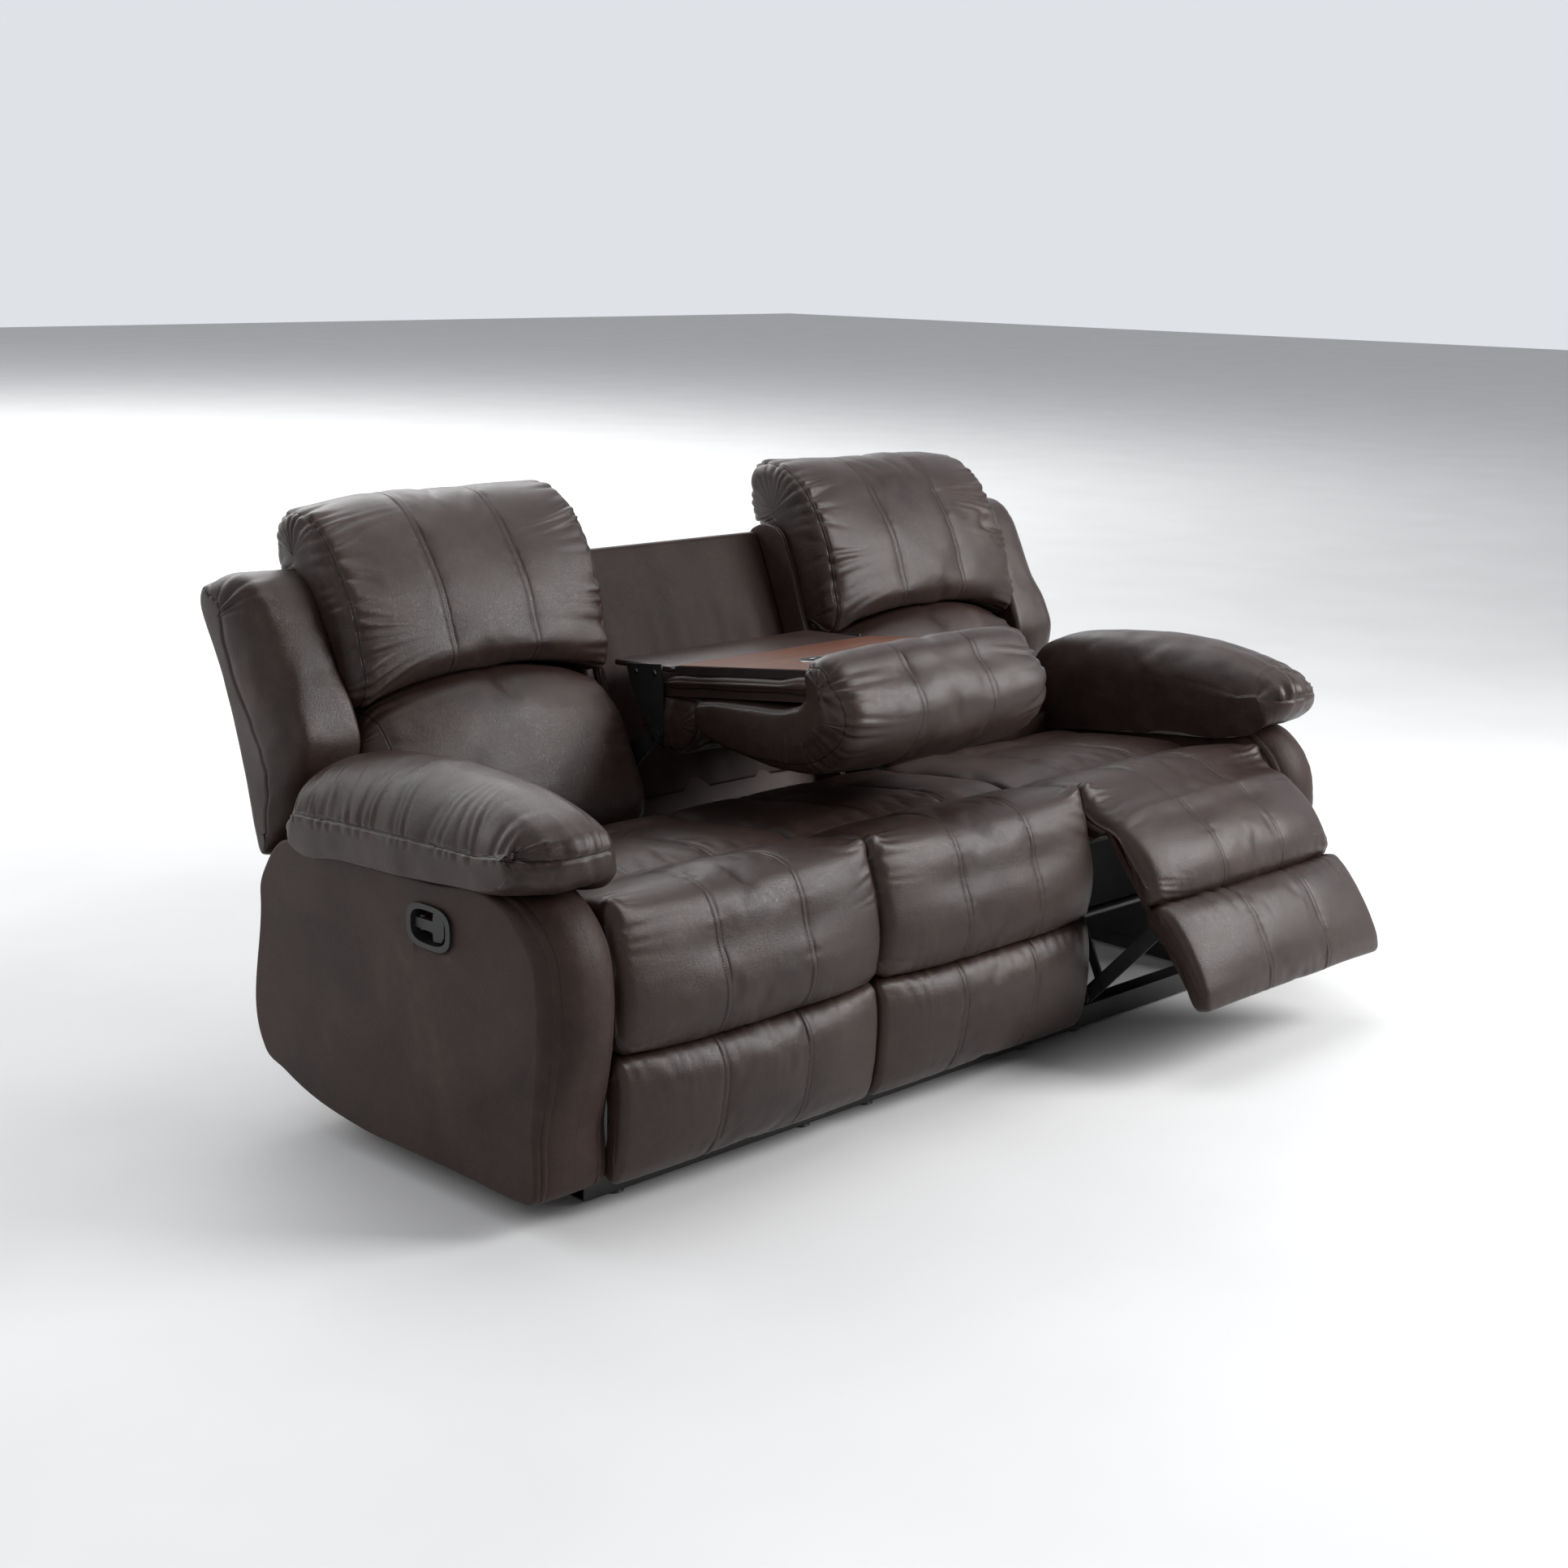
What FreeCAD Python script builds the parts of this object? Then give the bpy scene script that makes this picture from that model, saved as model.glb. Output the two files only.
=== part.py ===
import FreeCAD, Part
import math
import os
from FreeCAD import Vector

# ---------------------------------------------------------------------------
# Three-place reclining sofa. Both outer places recline and have a footrest,
# the middle back folds down into a console with a table and two cup holders.
# Millimetres. X to the right seen from the front, Y to the rear, Z up, z = 0
# is the floor. Lengths below are in a drawing frame whose y = 0 is the front
# edge of the arms; YC moves the whole model so that its box is centred in Y.
# Rest state: console folded down, left footrest shut, right one part open.
# ---------------------------------------------------------------------------

HALF_W = 1015.0        # half width over the two arm panels
ARM_IN = 874.0         # inner face of an arm
PANEL_T = 16.0         # arm side panel
PILLOW_X0, PILLOW_X1 = 861.0, 1052.0
SEAT_X0, SEAT_X1 = 292.0, 868.0      # outer places
CEN_X = 285.0          # half width of the middle seat
SEAT_TOP = 500.0
TUBE = 40.0            # front and rear base tube, square
RAKE_R0 = (700.0, 458.0)             # a point on the rear plane of the backs
RAKE_U = (0.353, 0.9356)             # up along the rear plane
RAKE_W = (-0.9356, 0.353)            # forward from the rear plane
FOOT_P = (-35.0, 510.0)              # swing centre of a footrest
FOOT_OPEN = 38.0       # opening of the right footrest at rest
LINK_S = (112.0, 353.0)              # rear link, pivot on the seat
LINK_T = (84.0, 383.0)               # front link, pivot on the seat
LINK_C0 = (-160.0, 247.0)            # lower link, pivot on the right footrest
BACK_P = (620.0, 330.0)              # recline pivot
CON_P = (543.0, 583.0)               # console pivot
LEAF_H = (514.0, 713.0)              # rear leaf hinge on the console
TAB_A = math.radians(6.67)           # tilt of the folded table
TAB_P = (500.0, 722.0)               # a point on the table's top face
CUP_X, CUP_Y = 105.0, 265.0
CUP_R, CUP_WALL, CUP_DEPTH, CUP_FLANGE = 41.0, 2.0, 54.0, 53.0
HANDLE_C = (231.0, 439.0)            # centre of the release handle's bezel
HANDLE_A, HANDLE_B = 56.0, 36.0
LEVER_Y = 262.0
YC = 279.17            # drawing frame to model frame


def prism(pts, x0, x1):
    vs = [Vector(x0, p[0], p[1]) for p in pts]
    vs.append(vs[0])
    return Part.Face(Part.makePolygon(vs)).extrude(Vector(x1 - x0, 0, 0))


def box(x0, x1, y0, y1, z0, z1):
    return Part.makeBox(x1 - x0, y1 - y0, z1 - z0, Vector(x0, y0, z0))


def cyl_x(y, z, r, x0, x1):
    return Part.makeCylinder(r, x1 - x0, Vector(x0, y, z), Vector(1, 0, 0))


def turn(p, c, deg):
    # positive: a point above c goes to the rear
    a = math.radians(deg)
    y, z = p[0] - c[0], p[1] - c[1]
    return (c[0] + y * math.cos(a) + z * math.sin(a), c[1] - y * math.sin(a) + z * math.cos(a))


def swing(shape, c, deg):
    s = shape.copy()
    s.rotate(Vector(0, c[0], c[1]), Vector(-1, 0, 0), deg)
    return s


def mirror(shape):
    return shape.mirror(Vector(0, 0, 0), Vector(1, 0, 0))


def raked(u, w):
    return (RAKE_R0[0] + u * RAKE_U[0] + w * RAKE_W[0], RAKE_R0[1] + u * RAKE_U[1] + w * RAKE_W[1])


def rk_board(x0, x1, u0, u1, w0, w1):
    return prism([raked(u0, w0), raked(u1, w0), raked(u1, w1), raked(u0, w1)], x0, x1)


def tab(s, n):
    # s to the rear along the table, n up from its top face
    return (TAB_P[0] + s * math.cos(TAB_A) + n * math.sin(TAB_A),
            TAB_P[1] - s * math.sin(TAB_A) + n * math.cos(TAB_A))


def tb_board(x0, x1, s0, s1, n0, n1):
    return prism([tab(s0, n0), tab(s1, n0), tab(s1, n1), tab(s0, n1)], x0, x1)


def bar(a, b, r, x0, x1, hole):
    # flat link with round ends and a hole at each end
    ang = math.atan2(b[1] - a[1], b[0] - a[0])
    nx, nz = -math.sin(ang) * r, math.cos(ang) * r
    body = prism([(a[0] + nx, a[1] + nz), (b[0] + nx, b[1] + nz), (b[0] - nx, b[1] - nz), (a[0] - nx, a[1] - nz)], x0, x1)
    body = body.fuse([cyl_x(a[0], a[1], r, x0, x1), cyl_x(b[0], b[1], r, x0, x1)]).removeSplitter()
    for p in (a, b):
        body = body.cut(cyl_x(p[0], p[1], hole, x0 - 1, x1 + 1))
    return body


def offset_in(pts, d):
    # inner offset of an open path that runs with the material on its right
    out = []
    n = len(pts)
    for i in range(n):
        a = pts[max(i - 1, 0)]
        b = pts[min(i + 1, n - 1)]
        tx, tz = b[0] - a[0], b[1] - a[1]
        L = math.hypot(tx, tz)
        nx, nz = tz / L, -tx / L
        k = 1.0
        if 0 < i < n - 1:
            t1 = (pts[i][0] - a[0], pts[i][1] - a[1])
            l1 = math.hypot(*t1)
            c = (t1[0] * tx + t1[1] * tz) / (l1 * L)
            k = 1.0 / max(c, 0.7)
        out.append((pts[i][0] + nx * d * k, pts[i][1] + nz * d * k))
    return out


nodes = {}


def put(name, *shapes):
    nodes[name] = list(shapes)


def both(name, *shapes):
    # the right-hand set as drawn and the left-hand set as its mirror
    put(name.replace("SIDE", "right"), *shapes)
    put(name.replace("SIDE", "left"), *[mirror(s) for s in shapes])


# --------------------------------------------------------------- arms
ARM_TOP = [(0, 50), (-17, 169), (-33, 314), (-30, 389), (-16, 448), (13, 479), (51, 508), (80, 520),
           (231, 511), (403, 504), (563, 499), (647, 496), (699, 443), (718, 411), (720, 375), (727, 118)]
ARM_BOT = [(717, 109), (656, 89), (595, 71), (535, 59), (477, 52), (419, 47.5), (307, 50)]
COVER_T = 5.0
inner_path = offset_in(ARM_TOP, COVER_T)
inner_path[0] = (COVER_T, 50)
inner_path[-1] = (722, 118)
panel_poly = inner_path + [(717, 109)] + ARM_BOT[1:]


def superellipse(cy, cz, a, b, n=3.0, k=28):
    pts = []
    for i in range(k):
        t = 2 * math.pi * i / k
        c, s = math.cos(t), math.sin(t)
        pts.append((cy + a * math.copysign(abs(c) ** (2.0 / n), c), cz + b * math.copysign(abs(s) ** (2.0 / n), s)))
    return pts


dish_hole = superellipse(*HANDLE_C, HANDLE_A - 11, HANDLE_B - 9)
outer_panel = prism(panel_poly, HALF_W - PANEL_T, HALF_W)
outer_panel = outer_panel.cut(prism(superellipse(*HANDLE_C, HANDLE_A - 8, HANDLE_B - 6), HALF_W - PANEL_T - 1, HALF_W + 1))
cover_poly = ARM_TOP + list(reversed(inner_path))
arm_cover = prism(cover_poly, ARM_IN, HALF_W)
IN_T = 12.0
arm_frame = [
    prism(panel_poly, ARM_IN, ARM_IN + IN_T),
    box(ARM_IN + IN_T, HALF_W - PANEL_T, 12, 40, 60, 440),
    box(ARM_IN + IN_T, HALF_W - PANEL_T, 60, 620, 472, 490),
    box(ARM_IN + IN_T, HALF_W - PANEL_T, 60, 440, 60, 88),
    box(ARM_IN + IN_T, HALF_W - PANEL_T, 672, 700, 130, 400),
]
pillow_side = [(-35, 535), (-12, 512), (40, 512), (80, 523), (231, 514), (403, 507), (563, 502.5), (590, 520),
               (592, 600), (568, 628), (513, 648), (278, 667), (58, 678), (-30, 662), (-55, 635), (-50, 570)]
pillow_cross = [(880, 495), (864, 545), (PILLOW_X0, 590), (871, 630), (900, 660), (945, 682), (1000, 682), (1035, 655),
                (PILLOW_X1, 610), (1050, 560), (1035, 525), (1012, 495)]
cross = Part.Face(Part.makePolygon([Vector(x, -100, z) for x, z in pillow_cross + pillow_cross[:1]])).extrude(Vector(0, 760, 0))
pillow = prism(pillow_side, 850, 1060).common(cross)
both("arm_SIDE_outer_panel", outer_panel)
both("arm_SIDE_frame", *arm_frame)
both("arm_SIDE_cover", arm_cover)
both("arm_SIDE_pillow", pillow)

# --------------------------------------------------------------- release handles
ring = prism(superellipse(*HANDLE_C, HANDLE_A, HANDLE_B), HALF_W, HALF_W + 6).cut(
    prism(dish_hole, HALF_W - 1, HALF_W + 7))
wall = prism(superellipse(*HANDLE_C, HANDLE_A - 8.5, HANDLE_B - 6.5), HALF_W - 30, HALF_W).cut(
    prism(dish_hole, HALF_W - 28, HALF_W + 1))
both("handle_SIDE_bezel", ring.fuse(wall).removeSplitter())
lever_plate = prism([(272, 431), (272, 447), (228, 448), (226, 462), (206, 460), (199, 450), (199, 428), (206, 418),
                     (226, 416), (228, 430)], HALF_W - 9, HALF_W - 1)
lever_boss = Part.makeCylinder(6.0, 24.0, Vector(HALF_W - 10, LEVER_Y, 427), Vector(0, 0, 1))
both("handle_SIDE_lever", lever_plate.fuse(lever_boss).removeSplitter())

# --------------------------------------------------------------- base
TZ0 = 7.0
front_tube = box(-ARM_IN, ARM_IN, 32, 72, TZ0, TZ0 + TUBE).cut(box(-ARM_IN, ARM_IN, 34.5, 69.5, TZ0 + 2.5, TZ0 + TUBE - 2.5))
rear_tube = box(-ARM_IN, ARM_IN, 640, 680, TZ0, TZ0 + TUBE).cut(box(-ARM_IN, ARM_IN, 642.5, 677.5, TZ0 + 2.5, TZ0 + TUBE - 2.5))
base = [front_tube, rear_tube]
for x0, x1 in ((288, 300), (862, 873)):
    base.append(box(x0, x1, 72, 640, TZ0, TZ0 + 28))
PL = [(170, 35), (640, 35), (640, 47), (662, 47), (662, 120), (640, 345), (600, 352), (480, 388), (190, 388), (170, 300)]
for x0, x1 in ((295.5, 299.5), (864, 868)):
    base.append(prism(PL, x0, x1).cut(cyl_x(*BACK_P, 6.05, x0 - 1, x1 + 1)))
base_all = []
for s in base[:2]:
    base_all.append(s)
for s in base[2:]:
    base_all += [s, mirror(s)]
put("base_frame", *base_all)
feet = []
for x in (797, 373, 214.5):
    for y in (52, 660):
        for sx in (-1, 1):
            foot = Part.makeCone(18.0, 15.0, TZ0, Vector(sx * x, y, 0), Vector(0, 0, 1))
            feet.append(foot)
put("feet", *feet)

# --------------------------------------------------------------- footrest, drawn shut
UPPER = [(-35, 454), (-55, 410), (-76, 380), (-84, 350), (-70, 300), (-46, 269), (-12, 269), (-12, 451)]
LOWER = [(-46, 263), (-68, 238), (-74, 190), (-66, 125), (-48, 74), (-24, 52), (-12, 55), (-12, 263)]
FX0, FX1 = SEAT_X0 + 6, SEAT_X1 - 6
f_board = prism([(-11.5, 62), (-11.5, 450), (0, 450), (0, 62)], 306, 854)
c_shut = turn(LINK_C0, FOOT_P, -FOOT_OPEN)
HOLE, PIN = 5.05, 5.0
# mechanism planes, counted from the inner side of each place
M1, M2, M3, M4 = 322.0, 330.0, 338.0, 346.0
T = 5.0
bracket_poly = [(0.5, 120), (0.5, 396), (8, 396), (14, 300), (c_shut[0] + 10, c_shut[1] + 14), (c_shut[0] + 16, c_shut[1] - 4),
                (c_shut[0] + 4, c_shut[1] - 15), (12, 180), (9, 120)]


def pair(make):
    # the same steel part near both side edges of one place
    mid = SEAT_X0 + SEAT_X1
    a = make
    b = a.mirror(Vector(mid / 2.0, 0, 0), Vector(1, 0, 0))
    return [a, b]


f_bracket = prism(bracket_poly, M3, M3 + T).cut(cyl_x(*c_shut, HOLE, M3 - 1, M3 + T + 1))
f_flange = box(M3, M3 + 22, 0.5, 4.5, 118, 122).fuse(box(M3 + T, M3 + 22, 0.5, 4.5, 122, 394))
f_bracket = f_bracket.fuse(f_flange).removeSplitter()


def place(shapes, deg):
    return [swing(s, FOOT_P, deg) for s in shapes]


for side, deg in (("right", FOOT_OPEN), ("left", 0.0)):
    mir = mirror if side == "left" else (lambda s: s)
    sets = {
        "footrest_%s_board" % side: [f_board],
        "footrest_%s_upper_pad" % side: [prism(UPPER, FX0, FX1)],
        "footrest_%s_lower_pad" % side: [prism(LOWER, FX0, FX1)],
        "footrest_%s_brackets" % side: pair(f_bracket),
    }
    for n, sh in sets.items():
        put(n, *[mir(s) for s in place(sh, deg)])

# --------------------------------------------------------------- footrest linkage
for side, deg in (("right", FOOT_OPEN), ("left", 0.0)):
    mir = mirror if side == "left" else (lambda s: s)
    c = turn(c_shut, FOOT_P, deg)
    off = (LINK_S[0] - FOOT_P[0], LINK_S[1] - FOOT_P[1])
    m = (c[0] + off[0], c[1] + off[1])
    toff = (LINK_T[0] - LINK_S[0], LINK_T[1] - LINK_S[1])
    b2 = (m[0] + toff[0], m[1] + toff[1])
    front = pair(bar(LINK_T, b2, 9.0, M3, M3 + T, HOLE))
    low_bar = bar(m, c, 14.0, M2, M2 + T, HOLE)
    # the third hole of the lower link, for the front link
    low_bar = low_bar.cut(cyl_x(b2[0], b2[1], HOLE, M2 - 1, M2 + T + 1))
    lower = pair(low_bar)
    put("link_rear_%s" % side, *[mir(s) for s in pair(bar(LINK_S, m, 12.0, M1, M1 + T, HOLE))])
    put("link_front_%s" % side, *[mir(s) for s in front])
    put("link_lower_%s" % side, *[mir(s) for s in lower])
    nodes["_pins_%s" % side] = [m, b2, c]

# --------------------------------------------------------------- outer seats
KNEE = [(145, 478), (80, 496), (-5, 500), (-18, 497), (-30, 480), (-30, 464), (5, 464), (5, 405), (145, 405)]
PAD = [(146, 478), (250, 474), (400, 460), (497, 445), (497, 405), (146, 405)]
seat_frame = [
    box(309, 851, 12, 32, 380, 404),
    box(309, 851, 470, 490, 345, 404),
    prism([(32, 345), (470, 345), (470, 404), (32, 404)], 309, 316),
    prism([(32, 345), (470, 345), (470, 404), (32, 404)], 844, 851),
    box(316, 844, 230, 262, 372, 404),
    cyl_x(32, 236, 9, 365, 795),
]
# side plates of the mechanism with the two link pivots and the arm that carries the cross tube
side_plate = prism([(40, 342), (40, 345), (32, 345), (32, 404), (180, 404), (180, 330), (120, 325), (75, 335), (48, 226), (20, 226),
                    (20, 246), (36, 300)], 354, 358)
for s in (side_plate, side_plate.mirror(Vector((SEAT_X0 + SEAT_X1) / 2.0, 0, 0), Vector(1, 0, 0))):
    seat_frame.append(s.cut(cyl_x(32, 236, 9.0, 300, 900)).cut(cyl_x(*LINK_S, HOLE, 300, 900)).cut(cyl_x(*LINK_T, HOLE, 300, 900)))
seat_frame[5] = cyl_x(32, 236, 9, 354, 806)
# pivots of the links on the seat: pins that stand out of the side plates
pin_s = cyl_x(*LINK_S, PIN, M1 - 1.5, 354).fuse(cyl_x(*LINK_S, 9.0, M1 - 3.5, M1 - 1.5)).fuse(cyl_x(*LINK_S, 9.0, M1 + T + 0.5, 354))
pin_t = cyl_x(*LINK_T, PIN, M3 - 1.5, 354).fuse(cyl_x(*LINK_T, 9.0, M3 - 3.5, M3 - 1.5)).fuse(cyl_x(*LINK_T, 8.0, M3 + T + 0.5, 354))
seat_frame += pair(pin_s) + pair(pin_t)
both("seat_SIDE_frame", *seat_frame)
both("seat_SIDE_pad", prism(PAD, SEAT_X0, SEAT_X1))
both("seat_SIDE_knee_roll", prism(KNEE, SEAT_X0, SEAT_X1))

# --------------------------------------------------------------- middle seat
cen_pad = [(-30, 464), (-30, 480), (-18, 497), (-5, 500), (80, 496), (145, 478), (250, 474), (400, 460), (520, 443), (520, 405),
           (5, 405), (5, 464)]
put("centre_seat_pad", prism(cen_pad, -CEN_X, CEN_X))
put("centre_front_upper_pad", prism(UPPER, -CEN_X + 2, CEN_X - 2))
put("centre_front_lower_pad", prism(LOWER, -CEN_X + 2, CEN_X - 2))
put("centre_seat_frame",
    prism([(-11.5, 62), (-11.5, 450), (0, 450), (0, 62)], -276, 276),
    box(-276, 276, 12, 32, 345, 404), box(-276, 276, 490, 512, 345, 404),
    box(-284, -276, 12, 512, 47, 404), box(276, 284, 12, 512, 47, 404),
    box(-276, 276, 240, 270, 372, 404))

# --------------------------------------------------------------- middle back, fixed
GUSSET = [(512.2, 345), (651, 345), (653, 346.8), (575, 376), (512.2, 398)]
put("centre_back_frame",
    rk_board(-287, -275, -120, 440, 4, 88), rk_board(275, 287, -120, 440, 4, 88),
    rk_board(-275, 275, -120, -60, 8, 30), rk_board(-275, 275, 400, 440, 4, 24), rk_board(-275, 275, 190, 225, 4, 22),
    prism(GUSSET, 276, 284), prism(GUSSET, -284, -276))
put("centre_rear_panel", rk_board(-287, 287, -130, 458, 0, 3.5))
put("rear_dust_panels",
    box(-284, 284, 728, 730, 100, 436),
    box(302, 860, 700, 702, 100, 330), box(-860, -302, 700, 702, 100, 330),
    box(-284, 284, 681, 728, 100, 104))
lug_poly = [(530, 576), (528, 590), (538, 600), (552, 600), (640, 545), (704, 500), (688, 462), (640, 472), (545, 567)]
lug = prism(lug_poly, 268, 275).cut(cyl_x(*CON_P, HOLE, 260, 280))
put("console_fixed_brackets", lug, mirror(lug))
con_pin = cyl_x(*CON_P, PIN, 260, 275).fuse(cyl_x(*CON_P, 9.0, 258.4, 260))
put("console_hinge_pins", con_pin, mirror(con_pin))

# --------------------------------------------------------------- console
CON_X = 257.0
cup_c = tab((CUP_Y - TAB_P[0]) / math.cos(TAB_A), 0)
ax = Vector(0, math.sin(TAB_A), math.cos(TAB_A))


def cup_cyl(sx, r, n0, n1):
    return Part.makeCylinder(r, n1 - n0, Vector(sx * CUP_X, cup_c[0], cup_c[1]) + ax * n0, ax)


table = tb_board(-CON_X, CON_X, -332, 4, -15, 0)
board = tb_board(-CON_X + 3, CON_X - 3, -326, 24, -31, -15.5)
for sx in (-1, 1):
    table = table.cut(cup_cyl(sx, CUP_R + CUP_WALL + 0.4, -20, 5))
    table = table.cut(cup_cyl(sx, CUP_FLANGE + 0.4, -3.2, 5))      # the rim lies flush in a shallow rebate
    board = board.cut(cup_cyl(sx, CUP_R + CUP_WALL + 0.4, -40, 5))
put("console_table_top", table)
put("console_frame", board,
    tb_board(-CON_X + 3, -CON_X + 21, -326, 60, -56, -31.5), tb_board(CON_X - 21, CON_X - 3, -326, 60, -56, -31.5),
    tb_board(-CON_X + 22, CON_X - 22, 30, 48, -56, -31.5))
cups = []
for sx in (-1, 1):
    c = cup_cyl(sx, CUP_R + CUP_WALL, -CUP_DEPTH - 2, -0.1).fuse(cup_cyl(sx, CUP_FLANGE, -3.0, -0.1))
    c = c.cut(cup_cyl(sx, CUP_R, -CUP_DEPTH, 10)).removeSplitter()
    cups.append(c)
put("console_cup_holders", *cups)
HEAD = [(162, 784), (133, 792), (117, 786), (86, 750), (57, 725), (42, 692), (50, 652), (72, 620), (110, 591), (150, 577),
        (200, 574), (291, 584), (370, 592), (418, 612), (434, 638), (430, 664), (400, 672), tab(-330, -58.5), (160, 740)]
put("console_headrest_pad", prism(HEAD, -280, 280).cut(
    box(-290, 290, 161.5, 430, 700, 800)))
LUMB = [(440, 664), (500, 663), (552, 657), (590, 643), (594, 608), (572, 576), (525, 562), (476, 574), (450, 604)]
put("console_lumbar_pad", prism(LUMB, -256, 256))
arm_poly = [(629, 711), (532, 722), (527, 677), (526, 600), (530, 572), (543, 566), (556, 572), (562, 600), (612, 665)]
con_arm = prism(arm_poly, 262.5, 266.0).cut(cyl_x(*CON_P, HOLE, 260, 270))
put("console_moving_brackets", con_arm, mirror(con_arm))
LEAF = [(512, 719), (671, 712), (671, 700), (512, 707)]
put("console_leaf", prism(LEAF, -CON_X, CON_X))

# --------------------------------------------------------------- outer backs
BX0, BX1 = 297.0, 858.0
HEADR = [(636, 671), (615, 700), (622, 750), (643, 820), (687, 900), (722, 955), (770, 1006), (815, 1036), (848, 1034), (872, 1000),
         (868, 950), raked(464, 6), raked(464, 31),
         raked(262, 31), (700, 694)]
LUMBR = [(508, 441), (495, 478), (503, 515), (545, 598), (578, 645), (612, 661), (700, 684), raked(250, 31), raked(-20, 31), (560, 436)]
WING = [(676, 512), (640, 570), (612, 640), (622, 675), (668, 757), (712, 842), (738, 884), (772, 902), (815, 902),
        raked(452, 5), raked(8, 5)]
back_frame = [
    rk_board(303, 325, -118, 460, 5, 29), rk_board(833, 855, -118, 460, 5, 29),
    rk_board(325, 833, 400, 460, 5, 29), rk_board(325, 833, 170, 210, 5, 29), rk_board(325, 833, -60, -10, 5, 29),
]
# hinge plates at the foot of the two posts
hinge_poly = [(600, 322), (612, 312), (628, 312), (640, 322), raked(-118, 6), raked(-40, 5.5), raked(-40, 28.5), (606, 345)]
for x0, x1 in ((301, 303), (855, 857)):
    back_frame.append(prism(hinge_poly, x0, x1))
back_frame.append(cyl_x(*BACK_P, 6.0, 293, 301))
back_frame.append(cyl_x(*BACK_P, 6.0, 857, 870))
both("back_SIDE_frame", *back_frame)
both("back_SIDE_headrest_pad", prism(HEADR, BX0, BX1))
both("back_SIDE_lumbar_pad", prism(LUMBR, BX0, BX1))
both("back_SIDE_wing_pad", prism(WING, 866, 1013))
rear_skin = rk_board(297, 860, -130, 452, 0, 4).fuse(rk_board(859, 1011, 10, 452, 0, 4)).removeSplitter()
both("back_SIDE_rear_panel", rear_skin)

# link pins: the lower link carries the pins of its three pivots
for side in ("right", "left"):
    mir = mirror if side == "left" else (lambda s: s)
    m, b2, c = nodes.pop("_pins_%s" % side)
    extra = pair(cyl_x(m[0], m[1], PIN, M1 - 1.5, M2 + T + 1.5).fuse([cyl_x(m[0], m[1], 9.0, M1 - 3.5, M1 - 1.5), cyl_x(m[0], m[1], 9.0, M2 + T + 1.5, M2 + T + 2.8)]))
    extra += pair(cyl_x(b2[0], b2[1], PIN, M2 - 1.5, M3 + T + 1.5).fuse([cyl_x(b2[0], b2[1], 8.0, M2 - 2.8, M2 - 1.5), cyl_x(b2[0], b2[1], 8.0, M3 + T + 1.5, M3 + T + 3.5)]))
    extra += pair(cyl_x(c[0], c[1], PIN, M2 - 1.5, M3 + T + 1.5).fuse([cyl_x(c[0], c[1], 9.0, M2 - 3.5, M2 - 1.5), cyl_x(c[0], c[1], 9.0, M3 + T + 1.5, M3 + T + 3.5)]))
    nodes["link_lower_%s" % side] += [mir(s) for s in extra]

# --------------------------------------------------------------- write the pieces
os.makedirs("parts", exist_ok=True)
lo = [1e9] * 3
hi = [-1e9] * 3
for name, shapes in nodes.items():
    solids = []
    for s in shapes:
        got = s.Solids
        if not got:
            raise RuntimeError("no solid in " + name)
        solids += got
    shape = solids[0] if len(solids) == 1 else Part.makeCompound(solids)
    shape = shape.copy()
    shape.translate(Vector(0, -YC, 0))
    if not shape.isValid():
        raise RuntimeError("not valid: " + name)
    b = shape.BoundBox
    for i, (a0, a1) in enumerate(((b.XMin, b.XMax), (b.YMin, b.YMax), (b.ZMin, b.ZMax))):
        lo[i] = min(lo[i], a0)
        hi[i] = max(hi[i], a1)
    shape.exportStep("parts/%s.step" % name)
print(len(nodes), "nodes; box", [round(v, 2) for v in lo], [round(v, 2) for v in hi])
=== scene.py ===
import bpy, bmesh, math
import numpy as np
from mathutils import Vector, Matrix


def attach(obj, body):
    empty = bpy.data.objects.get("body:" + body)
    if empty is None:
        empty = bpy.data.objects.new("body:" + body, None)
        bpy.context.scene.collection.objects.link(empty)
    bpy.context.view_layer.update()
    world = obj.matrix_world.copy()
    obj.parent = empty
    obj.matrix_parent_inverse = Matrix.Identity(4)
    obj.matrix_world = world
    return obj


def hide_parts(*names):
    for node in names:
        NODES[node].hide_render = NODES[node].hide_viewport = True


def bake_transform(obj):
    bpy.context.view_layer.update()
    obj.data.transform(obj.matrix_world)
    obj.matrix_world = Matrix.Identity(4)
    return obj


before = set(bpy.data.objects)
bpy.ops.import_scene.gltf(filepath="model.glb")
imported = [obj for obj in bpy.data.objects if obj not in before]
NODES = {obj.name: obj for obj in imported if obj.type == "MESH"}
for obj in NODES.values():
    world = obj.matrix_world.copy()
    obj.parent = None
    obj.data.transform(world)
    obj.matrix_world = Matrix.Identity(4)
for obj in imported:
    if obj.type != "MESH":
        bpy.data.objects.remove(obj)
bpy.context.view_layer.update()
YC = 0.27917          # drawing frame (y = 0 at the front edge of the arms) to row frame

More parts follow.
